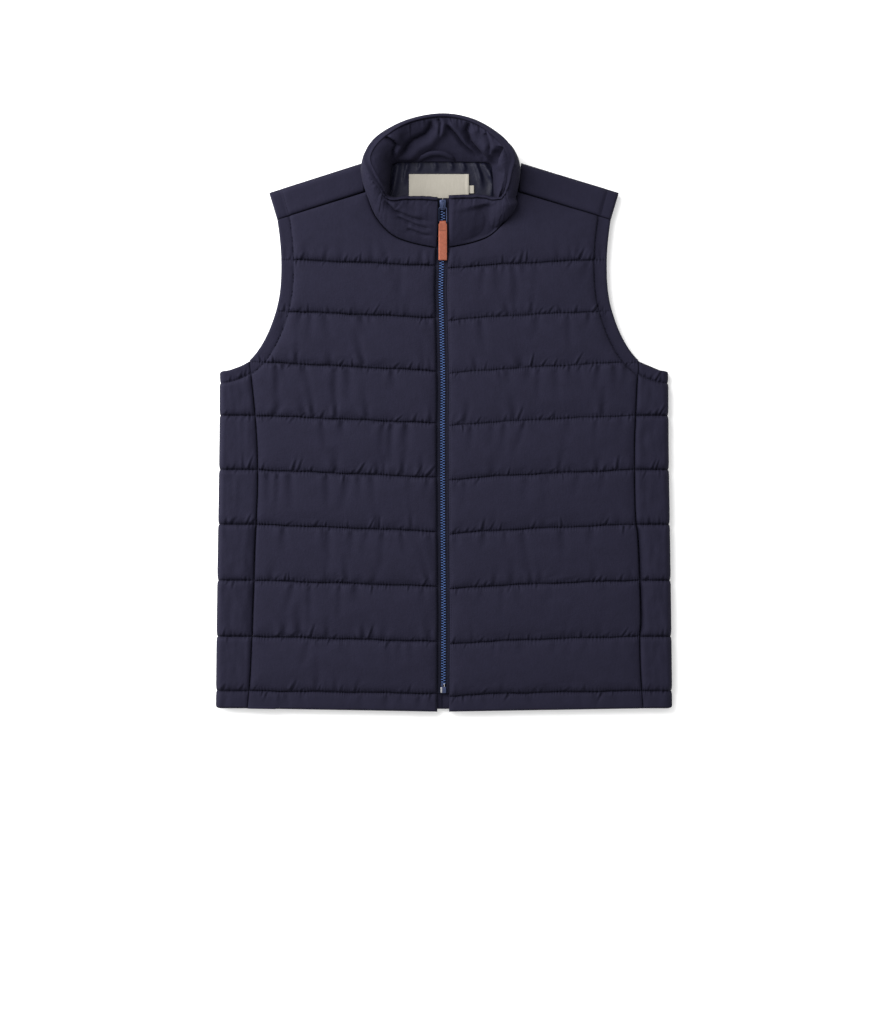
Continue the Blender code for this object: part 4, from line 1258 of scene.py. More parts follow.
def shoulder_ring(length, to_arm, to_neck):
    """Section over a shoulder as a closed ring of (down from the fold, z): outer leaf, fold and foot."""
    radius = SHOULDER_FOLD_RADIUS
    in_band = to_arm < BAND
    start, reach = SHOULDER_RISE
    puff = rise(abs(to_arm - BAND), BAND / 2 if in_band else SEAM_REACH) * rise(to_neck + start, reach)
    full = BAND_CROWN if in_band else SHOULDER_CROWN
    crown = AT_STITCH + at_least(SHOULDER_LEAST, puff) * (full - AT_STITCH)
    across = SHOULDER_SHARES * (length - radius)
    thick = AT_STITCH + (crown - AT_STITCH) * rise(across, SEAM_REACH)
    leaf = np.column_stack([length - across, FRONT_FLOOR + thick])
    middle = leaf[-1, 1] / 2
    seat = [(radius, SEAT_UP), (radius, FRONT_FLOOR - SEAT_ROUND), (radius + SEAT_ROUND, FRONT_FLOOR)]
    foot = columns(np.linspace(radius + SEAT_ROUND, length, SEAT_POINTS)[1:], FRONT_FLOOR)
    return squeezed(np.vstack([leaf, half_turn(radius, -radius, middle), seat, foot]), middle, to_arm)


def shoulder(side, look):
    """Part of the back over one shoulder, to the forward seam; returns its armhole stitch as (x, y, z)."""
    sign = SIDES[side]
    seam_half = neck_half(side, COLLAR_SEAM[FRONT_ROWS - 1][0])
    neck_end = np.array([seam_half + SHOULDER_IN, SHOULDER_SEAM_AT_NECK])
    arm_end = np.asarray(SHOULDER_SEAM_AT_ARM)
    root = shoulder_root(side)
    ridge = np.asarray(SHOULDER_AT_TIP) - root
    span = np.linalg.norm(ridge)
    rings = []
    flats = []
    gaps = []
    for share in np.linspace(0, 1, SHOULDER_SECTIONS):
        top = root + share * ridge
        fall = neck_end + share * (arm_end - neck_end) - top
        length = np.linalg.norm(fall)
        to_arm = (1 - share) * span
        ring = shoulder_ring(length - SEAM_GAP, to_arm, share * span)
        place = top + ring[:, :1] * (fall / length)
        rings.append(np.column_stack([sign * place[:, 0], place[:, 1], ring[:, 1]]))
        flats.append(columns(share * span, travel(ring)))
        gaps.append(abs(to_arm - BAND))
    points, faces = loft(rings)
    height, size, seed, up = SHOULDER_WAVE
    wave = rough(points[:, :2], size, seed * sign)
    points[:, 2] += height * wave * smooth((points[:, 2] - FRONT_FLOOR) / up)
    name = "shoulder_" + side + "_padded"
    obj = piece(name, points, faces, look, flat=np.vstack(flats), cad=["back"])
    return rings[np.argmin(gaps)][:SEWN_POINTS]


# Stand collar

COLLAR_STATIONS = 441
# Nearest that the first tenth of the collar, its left front, comes to the middle, clear of the pull
PULL_CLEAR = 0.0082
CLEAR_PART = 10
COLLAR_BULGE = 0.0026
COLLAR_HEIGHT = 0.0620
COLLAR_END = 0.0040
# Fullness of the inside on each side, and how far the foot stands in where that begins and grows
INSIDE_FULLNESS = {"left": 3.0, "right": 2.1}
FULLER_FROM = 0.008
FULLER_OVER = 0.012
# Waves of the top edge along the front: height, size, seeds for y and z, and where they fade out
EDGE_WAVE = 0.0010
EDGE_WAVE_SIZE = 0.009
EDGE_WAVE_SEEDS = (7.5, 3.5)
EDGE_WAVE_FROM = 0.268
EDGE_WAVE_FADE = 0.020
# Thickness of the filled collar, each row (share of its height, half thickness); the stitch is at the dip
COLLAR_WALL = (
    (0.000, 0.0011),
    (0.050, 0.0020),
    (0.150, 0.0034),
    (0.300, 0.0046),
    (0.520, 0.0050),
    (0.740, 0.0043),
    (0.860, 0.0031),
    (0.906, 0.0022),
    (0.918, 0.0008),
    (0.925, 0.0002),
    (0.932, 0.0010),
    (0.942, 0.0029),
    (0.962, 0.0040),
    (0.981, 0.0036),
    (0.994, 0.0021),
    (1.000, 0.0006),
)
WALL_STEP = 0.001
# Points up a wall, as stretches of (from, to, count)
WALL_POINTS = ((0, 0.89, 45), (0.905, 0.945, 11), (0.952, 1, 11))
EDGE_STITCH_SHARE = 0.925
# Stations left unsewn at each end of the edge stitch
UNSEWN = 3
# How much of the creases reaches the rolled edge beyond its stitch
EDGE_CREASES = 0.20
# Where creases and puckers fade, as shares of the height: at the stitch, foot and top, and below the stitch
HOLD_STITCH = 0.04
HOLD_FOOT = 0.10
HOLD_TOP = (0.03, 0.2)
HOLD_BELOW = 0.012
# Spread and seed of the puckers along that stitch
EDGE_SPREAD = 0.0040
EDGE_SEED = 91
# Soft unevenness of the walls, rows (height, size, seed)
COLLAR_WAVES = ((0.0007, 0.019, 4.0), (0.0003, 0.008, 14.0))
# How far creases may move the inside, in shares of its thickness and the foot's depth, and the outside
MOST_INSIDE = (0.4, 0.5)
MOST_OUTSIDE = 0.7
# Section of a crease: share of a sharp fold at its bottom, its sharpness, narrowing on the left, and ridge
CREASE_CORE = 0.60
CORE_SHARPNESS = 2.2
CREASE_LEFT = 0.6
CREASE_RIDGE = (0.55, 1.9, 1.5)
# Shares of its length over which a crease grows and fades
CREASE_ENDS = (0.14, 0.30)
OUTER = 1
INNER = -1
# Creases of the collar as seen from above: wall, width, depth, then their course as (x, y) points
COLLAR_CREASES = (
    (INNER, 0.0030, 0.0076,
     ((-0.0747, 0.3453), (-0.0629, 0.3386), (-0.0585, 0.3335), (-0.0622, 0.3269), (-0.0637, 0.3120))),
    (INNER, 0.0052, 0.0108,
     ((-0.0157, 0.3667), (-0.0157, 0.3549), (-0.0231, 0.3460), (-0.0379, 0.3387), (-0.0629, 0.3130))),
    (INNER, 0.0024, 0.0052, ((-0.0073, 0.3689), (-0.0042, 0.3615), (-0.0060, 0.3440))),
    (INNER, 0.0030, 0.0074,
     ((0.0005, 0.3620), (0.0152, 0.3460), (0.0241, 0.3342), (0.0374, 0.3224), (0.0470, 0.3130))),
    (INNER, 0.0046, 0.0104,
     ((0.0329, 0.3640), (0.0285, 0.3505), (0.0329, 0.3387), (0.0403, 0.3298), (0.0560, 0.3120))),
    (INNER, 0.0032, 0.0060, ((0.0510, 0.3500), (0.0565, 0.3357), (0.0580, 0.3220))),
    (INNER, 0.0052, 0.0100, ((0.0730, 0.3330), (0.0660, 0.3180), (0.0630, 0.3000))),
    (INNER, 0.0050, 0.0028, ((-0.0960, 0.3180), (-0.0790, 0.2960), (-0.0680, 0.2780))),
    (INNER, 0.0040, 0.0026, ((0.0810, 0.3060), (0.0720, 0.2900), (0.0690, 0.2740))),
    (OUTER, 0.0034, 0.0052, ((-0.0760, 0.2650), (-0.0614, 0.2516), (-0.0379, 0.2428), (-0.0113, 0.2369))),
    (OUTER, 0.0030, 0.0042, ((-0.0600, 0.2450), (-0.0349, 0.2339), (-0.0120, 0.2275))),
    (OUTER, 0.0026, 0.0032, ((-0.0470, 0.2300), (-0.0261, 0.2221), (-0.0130, 0.2200))),
    (OUTER, 0.0280, 0.0110, ((0.0500, 0.2620), (0.0540, 0.2420), (0.0600, 0.2050))),
)


def collar_stations(count):
    """Seam, inner foot and top edge of the collar, and the way along it, from the left front to the right."""
    middle = np.array([NECK_X, 0, 0])
    rows = []
    for side, sign in SIDES.items():
        turn = np.array([sign, 1, 1])
        ends = COLLAR_SEAM * turn + middle, COLLAR_FOOT * turn + middle, COLLAR_EDGE[side] * turn
        rows.append(np.column_stack(ends))
    ring = spline(np.vstack([rows[0], rows[1][::-1][1:]]), STEP)
    first = np.argmax(ring[:, 0] < -FRONT_EDGE["left"] - SEAM_GAP)
    last = len(ring) - np.argmax(ring[::-1, 0] > FRONT_EDGE["right"] + SEAM_GAP)
    ring = np.vstack([ring[first], ring[first:last], ring[last - 1]])
    ring[0, ::3] = -FRONT_EDGE["left"]
    ring[-1, ::3] = FRONT_EDGE["right"]
    along = travel(ring[:, :3])
    at = np.linspace(0, along[-1], count)
    ring = np.stack([np.interp(at, along, column) for column in ring.T], axis=1)
    front = count // CLEAR_PART
    ring[:front, ::3] = np.minimum(ring[:front, ::3], -PULL_CLEAR)
    return ring[:, :3], ring[:, 3:6], ring[:, 6:], at


def near_line(points, line):
    """Signed distance of each point from a polyline, positive to its right, and the share along it."""
    best = np.full(len(points), np.inf)
    signed = np.zeros(len(points))
    share_of = np.zeros(len(points))
    line = np.asarray(line, float)
    along = travel(line)
    for k, (a, b) in enumerate(zip(line, line[1:])):
        edge = b - a
        share = np.clip((points - a) @ edge / (edge @ edge), 0, 1)
        gap = points - a - share[:, None] * edge
        far = np.einsum("ij,ij->i", gap, gap)
        closer = far < best
        best[closer] = far[closer]
        turn = gap[:, 0] * edge[1] - gap[:, 1] * edge[0]
        signed[closer] = np.where(turn[closer] > 0, 1, -1) * np.sqrt(far[closer])
        share_of[closer] = ((along[k] + share * (along[k + 1] - along[k])) / along[-1])[closer]
    return signed, share_of


def crease(points, path, width, depth):
    """Height of a soft trough along a path, with a fuller ridge on its left; it fades towards its ends."""
    away, share = near_line(points, path)
    t = away / width
    fade = smooth(share / CREASE_ENDS[0]) * smooth((1 - share) / CREASE_ENDS[1])
    steep = np.abs(np.where(t < 0, t / CREASE_LEFT, t))
    trough = (1 - CREASE_CORE) * np.exp(-(steep**2)) + CREASE_CORE * np.exp(-CORE_SHARPNESS * steep)
    return depth * fade * (ridge_beside(t, *CREASE_RIDGE) - trough)


def waved(edge, along):
    """The collar's top edge with its small waves along the front."""
    at_front = 1 - smooth((edge[:, 1] - EDGE_WAVE_FROM) / EDGE_WAVE_FADE)
    waves = [rough(columns(along, along), EDGE_WAVE_SIZE, seed) for seed in EDGE_WAVE_SEEDS]
    return edge + EDGE_WAVE * columns(0.0, *waves) * at_front[:, None]


def collar_section():
    """Share of the height, half thickness and wall of points up the collar's outside and down its inside."""
    rows = spline(COLLAR_WALL, WALL_STEP)
    shares = np.concatenate([np.linspace(*stretch) for stretch in WALL_POINTS])
    half = np.interp(shares, rows[:, 0], rows[:, 1])
    wall = np.repeat([OUTER, INNER], len(shares))
    return np.concatenate([shares, shares[::-1]]), np.concatenate([half, half[::-1]]), wall


def collar_walls(seam, foot, edge, shares, wall):
    """Middles of the collar's walls, their lower ends and outward directions, and the foot's depth."""
    tangent = np.gradient(0.5 * (seam + edge), axis=0)
    tangent[[0, -1]] = (-1, 0, 0)
    tangent = unit(tangent)
    within = (wall == INNER)[None, :, None]
    low = np.where(within, foot[:, None], seam[:, None])
    base = low + shares[None, :, None] * (edge[:, None] - low)
    inward = np.linalg.norm(foot - seam, axis=1)[:, None]
    fullest = np.where(seam[:, :1] < NECK_X, INSIDE_FULLNESS["left"], INSIDE_FULLNESS["right"])
    fullness = 1 + (fullest - 1) * smooth((inward - FULLER_FROM) / FULLER_OVER)
    fuller = low[..., 2] + (1 - (1 - shares) ** fullness) * (edge[:, None, 2] - low[..., 2])
    base[..., 2] = np.where(wall == INNER, fuller, base[..., 2])
    outer, inner = (unit(np.cross(edge - end, tangent))[:, None] for end in (seam, foot))
    return base, low, np.where(within, inner, outer), inward


def collar_swell(seen, flat, along, shares, wall):
    """How far creases, unevenness and the puckers below the edge stitch move the collar's walls."""
    shape = flat.shape[:2]
    seen = seen.reshape(-1, 2)
    flat = flat.reshape(-1, 2)
    swell = np.zeros(len(seen))
    walls = np.tile(wall, len(along))
    for side, width, depth, path in COLLAR_CREASES:
        mine = walls == side
        swell[mine] += crease(seen[mine], path, width, depth)
    swell += sum(height * rough(flat, size, seed) for height, size, seed in COLLAR_WAVES)
    gather = columns(along, -EDGE_STITCH_SHARE * COLLAR_HEIGHT)
    dents = puckers(flat * [1, -1], [gather], EDGE_SEED, EDGE_SPREAD)
    at_foot = smooth(shares / HOLD_FOOT)
    top, least = HOLD_TOP
    at_stitch = smooth(np.abs(shares - EDGE_STITCH_SHARE) / HOLD_STITCH)
    hold = at_stitch * at_foot * smooth((1 - shares) / top + least)
    hold *= np.where(shares > EDGE_STITCH_SHARE, EDGE_CREASES, 1)
    below = smooth((EDGE_STITCH_SHARE - shares) / HOLD_BELOW) * at_foot
    return hold * swell.reshape(shape) + below * dents.reshape(shape)


def collar(look):
    """The filled stand collar with its rolled, stitched edge and creases; returns its stitch runs."""
    seam, foot, edge, along = collar_stations(COLLAR_STATIONS)
    edge = waved(edge, along)
    shares, half, wall = collar_section()
    base, low, outward, inward = collar_walls(seam, foot, edge, shares, wall)
    end = at_least(AT_EDGE, rise(np.minimum(along, along[-1] - along), COLLAR_END, QUARTER_ROUND))[:, None]
    bulge = COLLAR_BULGE * np.sin(math.pi * shares)
    out = wall * half * end + bulge
    seen = from_above(base + out[..., None] * outward)
    flat = np.stack(np.broadcast_arrays(along[:, None], shares * COLLAR_HEIGHT), axis=-1)
    out = out + wall * end * collar_swell(seen, flat, along, shares, wall)
    most = bulge + MOST_INSIDE[0] * half + MOST_INSIDE[1] * (1 - shares) * inward
    out = np.where(wall == INNER, np.minimum(out, most), np.maximum(out, bulge - MOST_OUTSIDE * half))
    rings = base + out[..., None] * outward
    rings[..., 2] = np.maximum(rings[..., 2], low[..., 2])
    points, faces = loft(rings)
    obj = piece("collar_padded", points, faces, look, flat=flat.reshape(-1, 2), cad=["collar"])
    column = np.argmin(np.abs(shares - EDGE_STITCH_SHARE))
    sewn = rings[UNSEWN:-UNSEWN]
    return [sewn[:, column], sewn[:, -1 - column]]


# What lies inside the neck

LINING_THICKNESS = 0.0006
LINING_UNDER = -0.0020
LINING_UP = 0.0009
# Points of the lining: stations round the neck, spacing along its lower edge and inside, and least distance
LINING_STATIONS = 241
LINING_EDGE_STEP = 0.002
LINING_SPACING = 0.0016
LINING_CLEAR = 0.0012
# Share of the folds at the lining's edge, and where they grow
AT_LINING_EDGE = 0.3
LINING_EDGE = (0.002, 0.004)
# Spare width for the folds, and spare area that shows
LINING_EASE = 1.12
LINING_AREA = 1.06
# Folds of the lining as ridges: width, height, then their course as (x, y) points
LINING_FOLDS = (
    (0.0035, 0.0044, ((-0.0560, 0.3160), (-0.0600, 0.2900), (-0.0660, 0.2600))),
    (0.0028, 0.0036, ((-0.0440, 0.3170), (-0.0475, 0.2980), (-0.0490, 0.2800))),
    (0.0024, 0.0030, ((-0.0290, 0.3170), (-0.0300, 0.3060), (-0.0330, 0.2970))),
    (0.0026, 0.0032, ((-0.0130, 0.3180), (-0.0105, 0.3060), (-0.0100, 0.2970))),
    (0.0024, 0.0034, ((0.0050, 0.3170), (0.0095, 0.3070), (0.0110, 0.2980))),
    (0.0026, 0.0034, ((0.0210, 0.3160), (0.0250, 0.3040), (0.0270, 0.2960))),
    (0.0030, 0.0042, ((0.0370, 0.3150), (0.0440, 0.2960), (0.0480, 0.2760))),
    (0.0034, 0.0050, ((0.0480, 0.3120), (0.0570, 0.2950), (0.0680, 0.2820))),
    (0.0040, 0.0038, ((0.0600, 0.3060), (0.0620, 0.2840), (0.0570, 0.2620))),
)
# Shares of its length over which a fold grows and fades
LINING_FOLD_ENDS = (0.10, 0.45)
# Share of the folds left under the label, how far from it they are full, and unevenness (height, size, seed)
UNDER_LABEL = 0.08
LABEL_CLEAR = 0.006
LINING_WAVE = (0.0003, 0.012, 8.0)


def lining_top(points):
    """Height of the lining's folds over its flat place at (x, y) points, low under the label."""
    fold = np.zeros(len(points))
    for width, height, path in LINING_FOLDS:
        away, share = near_line(points, path)
        fade = height * smooth(share / LINING_FOLD_ENDS[0]) * smooth((1 - share) / LINING_FOLD_ENDS[1])
        fold += fade * np.exp(-((away / width) ** 2))
    beyond = np.abs(points - LABEL_AT) - np.array(LABEL_SIZE) / 2
    clear = smooth(beyond.max(axis=1) / LABEL_CLEAR)
    height, size, seed = LINING_WAVE
    return at_least(UNDER_LABEL, clear) * fold + height * clear * rough(points, size, seed)


def lining(look):
    """Satin lining of the back neck, where it shows inside the collar."""
    foot = offset(collar_stations(LINING_STATIONS)[1][:, :2], LINING_UNDER)
    outline = foot[foot[:, 1] > LINING_LOWER][::-1]
    outline = np.vstack([outline, straight(outline[-1], outline[0], LINING_EDGE_STEP)[1:-1]])
    grid = hexagonal(outline.min(axis=0), outline.max(axis=0), LINING_SPACING)
    points, faces = triangulate(outline, [], ((grid, LINING_CLEAR),))
    inner, over = LINING_EDGE
    grown = smooth((distance_to(points, closed(outline)) - inner) / over)
    top = LINING_LOW + LINING_UP + lining_top(points) * at_least(AT_LINING_EDGE, grown)
    points, faces = two_sided(points, faces, top, top - LINING_THICKNESS)
    obj = piece("lining_satin", points, faces, look, cad=["lining_back"])
    width, length = np.ptp(outline, axis=0)
    x, y = outline.T
    area = abs(x @ np.roll(y, 1) - y @ np.roll(x, 1)) / 2
    area = min(area * LINING_AREA, width * LINING_EASE * length)


def cloth_patch(name, size, centre, height, cloth, look, cad):
    """A small flat cloth patch with softly rounded rim; height gives its top at (u, v) from its centre."""
    thickness, step = cloth
    u, v = (np.linspace(-side / 2, side / 2, round(side / step) + 1) for side in size)
    grid = np.stack(np.meshgrid(u, v), axis=-1).reshape(-1, 2)
    number = np.arange(len(grid)).reshape(len(v), len(u))
    quads = np.stack([number[:-1, :-1], number[:-1, 1:], number[1:, 1:], number[1:, :-1]], axis=-1)
    faces = [tuple(q) for q in quads.reshape(-1, 4).tolist()]
    top = height(grid[:, 0], grid[:, 1])
    points, faces = two_sided(grid + centre, faces, top, top - thickness)
    obj = piece(name, points, faces, look, flat=points[:, :2] - centre, cad=[cad])


# Label and size tag: thickness, spacing of their points, and height of their tops
LABEL_CLOTH = (0.0005, 0.0008)
LABEL_TOP = 0.0119
TAG_CLOTH = (0.0004, 0.0005)
TAG_TOP = 0.0112
# Waves of the label, one with (height, length, phase), one with (height, length across, length along)
LABEL_WAVES = ((0.00025, 0.011, 0.8), (0.0002, 0.008, 0.02))
# Folded end of the label: its lift, width and rounding
LABEL_FOLD = (0.0005, 0.0042, 0.0006)
# Lift of the tag away from the label, over a distance, and its slight wave
TAG_LIFT = (0.0004, 0.004)
TAG_WAVE = (0.0001, 0.003)


def label_height(u, v):
    """Top of the label: a little wavy, with its right end folded over and sewn down."""
    (high, length, phase), (low, across, along) = LABEL_WAVES
    wave = high * np.sin(u / length + phase) + low * np.sin(v / across + u / along)
    lift, width, rounding = LABEL_FOLD
    return LABEL_TOP + wave + lift * smooth((u - LABEL_SIZE[0] / 2 + width) / rounding)


def tag_height(u, v):
    """Top of the size tag, which slips under the label."""
    return TAG_TOP + TAG_LIFT[0] * smooth(u / TAG_LIFT[1]) + TAG_WAVE[0] * np.sin(v / TAG_WAVE[1])


# Hanger loop: points along and round it, its lean and flatness, and its girth
LOOP_STEP = 0.0007
LOOP_SIDES = 20
LOOP_UP = (0, -0.66, 0.75)
LOOP_FLAT = 0.62
LOOP_GIRTH = 0.014
# Twist of its cloth: height, length, turns round it, and the direction in which it shows
LOOP_TWIST = (0.00018, 0.0016, 5)
TWIST_TOWARDS = (0, 0.6, 0.8)


def hanger_loop(look):
    """The loop in the back neck seam: a flat sewn strip that arches up from the seam."""
    rows = np.asarray(LOOP)
    path = spline(np.vstack([rows * [-1, 1, 1, 1], rows[::-1][1:]]), LOOP_STEP)
    centre = path[:, :3] + [*LOOP_AT, 0]
    points, faces = tube(centre, path[:, 3], LOOP_SIDES, up=LOOP_UP, flatten=LOOP_FLAT)
    along = np.repeat(travel(centre), LOOP_SIDES)
    around = np.tile(np.linspace(0, LOOP_GIRTH, LOOP_SIDES), len(centre))
    height, length, turns = LOOP_TWIST
    twist = height * np.sin(along / length + turns * around / LOOP_GIRTH)
    points = points + twist[:, None] * np.array(TWIST_TOWARDS)
    flat = np.column_stack([along, around])
    obj = piece("hanger_loop_sewn", points, faces, look, flat=flat, cad=["hanger_loop"])


# Zip

ZIP_PITCH = 0.0033
# Wavering of the zip, each row (height along it, sideways)
ZIP_SWAY = (
    (-0.3740, 0.0004),
    (-0.2800, 0.0010),
    (-0.2200, 0.0008),
    (-0.1200, 0.0000),
    (-0.0200, -0.0003),
    (0.0300, 0.0002),
    (0.0750, -0.0006),
    (0.1256, -0.0017),
    (0.1506, -0.0024),
    (0.1756, -0.0018),
    (0.2050, -0.0005),
    (0.2280, 0.0000),
    (0.2800, 0.0000),
)
SWAY_STEP = 0.003
# How far from the zip the cloth moves with it, and over what distance that fades
SWAY_NEAR = 0.010
SWAY_FADE = 0.035


def swayed(points):
    """The points moved sideways with the wavering zip, less and less away from it."""
    rows = spline(ZIP_SWAY, SWAY_STEP)
    moved = np.array(points, float)
    near = 1 - smooth((np.abs(moved[:, 0] - ZIP_X) - SWAY_NEAR) / SWAY_FADE)
    moved[:, 0] += near * np.interp(moved[:, 1], rows[:, 0], rows[:, 1])
    return moved


def zip_lift(y):
    """How far the zip stands up with the collar at a height along it."""
    rows = np.asarray(ZIP_LIFT)
    return np.interp(y, rows[:, 0], rows[:, 1])


TAPE_WIDTH = 0.0100
TAPE_SECTIONS = 240
TAPE_BODY = 0.0006
# Section of a zip tape from its chain edge outwards: (share of its width, lift); two woven ridges
TAPE_SECTION = (
    (0.00, 0.0000),
    (0.04, 0.0002),
    (0.30, 0.0002),
    (0.34, 0.0006),
    (0.40, 0.0006),
    (0.44, 0.0002),
    (0.54, 0.0002),
    (0.57, 0.0004),
    (0.61, 0.0004),
    (0.64, 0.0001),
    (1.00, 0.0000),
)
# Angles in degrees above which edges stay sharp, on the tapes and on what is moulded or cast
SHARP_TAPE = 50
SHARP_CAST = 40


def zip_tape(side, look):
    """One woven tape of the zip, from the chain to the front edge and on into its seam."""
    share, lift = np.asarray(TAPE_SECTION).T
    x = ZIP_X + SIDES[side] * (SEAM_GAP + share * TAPE_WIDTH)
    rings = []
    for y in np.linspace(ZIP_BOTTOM, ZIP_TOP, TAPE_SECTIONS):
        low = FRONT_FLOOR + TAPE_UP + zip_lift(y)
        rings.append(np.vstack([columns(x, y, low + TAPE_BODY + lift), columns(x, y, low)[::-1]]))
    points, faces = loft(rings)
    flat = points[:, :2]
    points = swayed(points)
    name = "zip_tape_" + side
    woven_name = name + "_woven"
    obj = piece(woven_name, points, faces, look, flat=flat, cad=[name], sharp=SHARP_TAPE)


# Plan of one zip tooth from its root towards the middle: (towards the middle, half width)
TOOTH = (
    (-0.00275, 0.00058),
    (-0.00150, 0.00062),
    (-0.00080, 0.00042),
    (-0.00020, 0.00058),
    (0.00030, 0.00036),
)
# Levels of a tooth: (height, share of its plan)
TOOTH_LEVELS = ((0.0, 0.86), (0.0004, 1.0), (0.0017, 1.0), (0.0022, 0.74))
# Gaps along the zip from the chain to the box and to the slider
CHAIN_GAPS = (0.0008, 0.0010)


def zip_chain(look):
    """Moulded teeth of both tapes, each side between those of the other."""
    plan = np.asarray(TOOTH)
    outline = np.vstack([plan, (plan * [1, -1])[::-1]])
    middle = outline.mean(axis=0)
    chain_foot = ZIP_BOTTOM + BOX_SIZE[1] + CHAIN_GAPS[0]
    chain_top = SLIDER_Y - SLIDER_SIZE[1] / 2 - CHAIN_GAPS[1]
    parts = []
    for n, y in enumerate(np.arange(chain_foot, chain_top, ZIP_PITCH / 2)):
        sign = 1 if n % 2 else -1
        low = FRONT_FLOOR + CHAIN_UP + zip_lift(y)
        rings = []
        for up, share in TOOTH_LEVELS:
            ring = middle + share * (outline - middle)
            rings.append(columns(ZIP_X - sign * ring[:, 0], y + ring[:, 1], low + up))
        parts.append(loft(rings))
    points, faces = joined(parts)
    points = swayed(points)
    piece("zip_chain_teeth", points, faces, look, cad=["zip_chain"], sharp=SHARP_CAST)


def rounded_plan(width, length, corner, count=6):
    """Outline of a rectangle with rounded corners about its centre, as (x, y) points."""
    angle = np.linspace(0, math.pi / 2, count)
    quarter = np.column_stack([np.cos(angle), np.sin(angle)]) * corner
    middle = np.array([width / 2 - corner, length / 2 - corner])
    first = quarter + middle
    second = (quarter[::-1] + middle) * [-1, 1]
    return np.vstack([first, second, -first, -second])


# Angles in degrees of a block's rounded edges, and the least radius of its corners
EDGE_ANGLES = (0, 30, 60, 90)
LEAST_CORNER = 0.0001


def rounded_block(size, corner, edge, centre):
    """Points and faces of a block with rounded corners and edges."""
    width, length, height = size
    levels = [(edge * (1 - math.sin(a)), edge * (1 - math.cos(a))) for a in np.radians(EDGE_ANGLES)]
    levels += [(inset, height - z) for inset, z in levels[::-1]]
    rings = []
    for inset, z in levels:
        plan = rounded_plan(width - 2 * inset, length - 2 * inset, max(corner - inset, LEAST_CORNER))
        rings.append(columns(*plan.T, z - height / 2) + centre)
    return loft(rings)


# Slider: corners as (radius, points), taper towards its foot as (share, power), lift over the chain's foot
SLIDER_CORNER = (0.0022, 7)
SLIDER_TAPER = (0.22, 1.5)
SLIDER_UP = 0.0001
# Levels of the slider: (height, share of its plan)
SLIDER_LEVELS = (
    (0.0000, 0.86),
    (0.0003, 0.96),
    (0.0009, 1.00),
    (0.0013, 0.97),
    (0.0014, 0.72),
    (0.0023, 0.72),
    (0.0024, 0.97),
    (0.0028, 1.00),
    (0.0033, 0.96),
    (SLIDER_SIZE[2], 0.86),
)
# Length along the zip over which its slope is taken, each way
SLOPE_REACH = 0.004
# Bridge of the puller: top below its full height, feet as (in from the end, above the slider), and crown
BRIDGE_DROP = 0.0012
BRIDGE_FEET = ((0.0004, -0.0006), (0.0003, 0.0010))
BRIDGE_SHOULDER = 0.0014
BRIDGE_CROWN = 0.0002
BRIDGE_STEP = 0.0003
BRIDGE_RADIUS = 0.00115
BRIDGE_FLAT = 0.42
# Sides of a wire and of the bridge
WIRE_SIDES = 12


def slider_body():
    """Points and faces of the slider: two waisted plates with a slot between them for the tapes."""
    width, length, _ = SLIDER_SIZE
    share, power = SLIDER_TAPER
    plan = rounded_plan(width, length, *SLIDER_CORNER)
    taper = 1 - share * np.clip(0.5 - plan[:, 1] / length, 0, 1) ** power
    plan = plan * columns(taper, 1.0)
    return loft([columns(*(plan * scale).T, z) for z, scale in SLIDER_LEVELS])


def slider_bridge():
    """Points and faces of the flat arch on the slider that holds the puller."""
    reach = BRIDGE_SIZE[1] / 2
    height = SLIDER_SIZE[2]
    top = height + BRIDGE_SIZE[2] - BRIDGE_DROP
    rows = [(0, reach - inner, height + up) for inner, up in BRIDGE_FEET]
    rows.append((0, reach - BRIDGE_SHOULDER, top))
    far = [(0, -y, z) for _, y, z in rows[::-1]]
    arch = spline([*rows, (0, 0, top + BRIDGE_CROWN), *far], BRIDGE_STEP)
    return tube(arch, BRIDGE_RADIUS, WIRE_SIDES, up=(1, 0, 0), flatten=BRIDGE_FLAT)


def zip_slider(look):
    """Slider with the bridge of the puller, lying along the zip."""
    points, faces = joined([slider_body(), slider_bridge()])
    climb = zip_lift(SLIDER_Y + SLOPE_REACH) - zip_lift(SLIDER_Y - SLOPE_REACH)
    slope = math.atan2(climb, 2 * SLOPE_REACH)
    place = Matrix.Translation((ZIP_X, SLIDER_Y, FRONT_FLOOR + CHAIN_UP + SLIDER_UP + zip_lift(SLIDER_Y)))
    points = placed(points, place @ Matrix.Rotation(slope, 4, "X"))
    piece("zip_slider_cast", points, faces, look, cad=["zip_slider"], sharp=SHARP_CAST)


# Gap between the chain and the tab that lies on it
TAB_OVER = 0.0006


def hinge_frame():
    """Place of the puller's pin, with the pull hanging along -Y from it."""
    pin = Vector(frame["joints"][0]["pos_m"])
    fall = pin.z - (FRONT_FLOOR + CHAIN_UP + CHAIN_THICKNESS + TAB_LEAF + TAB_OVER)
    return Matrix.Translation(pin) @ Matrix.Rotation(math.asin(fall / (PULLER_LENGTH + TAB_LENGTH)), 4, "X")


# Puller: corners of its frame as (radius, points), and points round it
PULLER_CORNER = (0.0016, 9)
PULLER_POINTS = 121


def zip_puller(look):
    """Wire frame that hangs on the slider's bridge by its upper bar."""
    plan = rounded_plan(PULLER_WIDTH - 2 * PIN_RADIUS, PULLER_LENGTH, *PULLER_CORNER)
    path = columns(plan[:, 0], plan[:, 1] - PULLER_LENGTH / 2, 0.0)
    path = resample(closed(path), PULLER_POINTS)[:-1]
    points, faces = tube(path, PIN_RADIUS, WIRE_SIDES, wrap=True)
    points = placed(points, hinge_frame())
    piece("zip_puller_wire", points, faces, look, body="pull", cad=["zip_puller"])


# Leather strap: place of its sewing below the bar, gap round the bar, gap between its leaves
TAB_SEW = 0.0098
BAR_GAP = 0.0003
LEAF_GAP = 0.00006
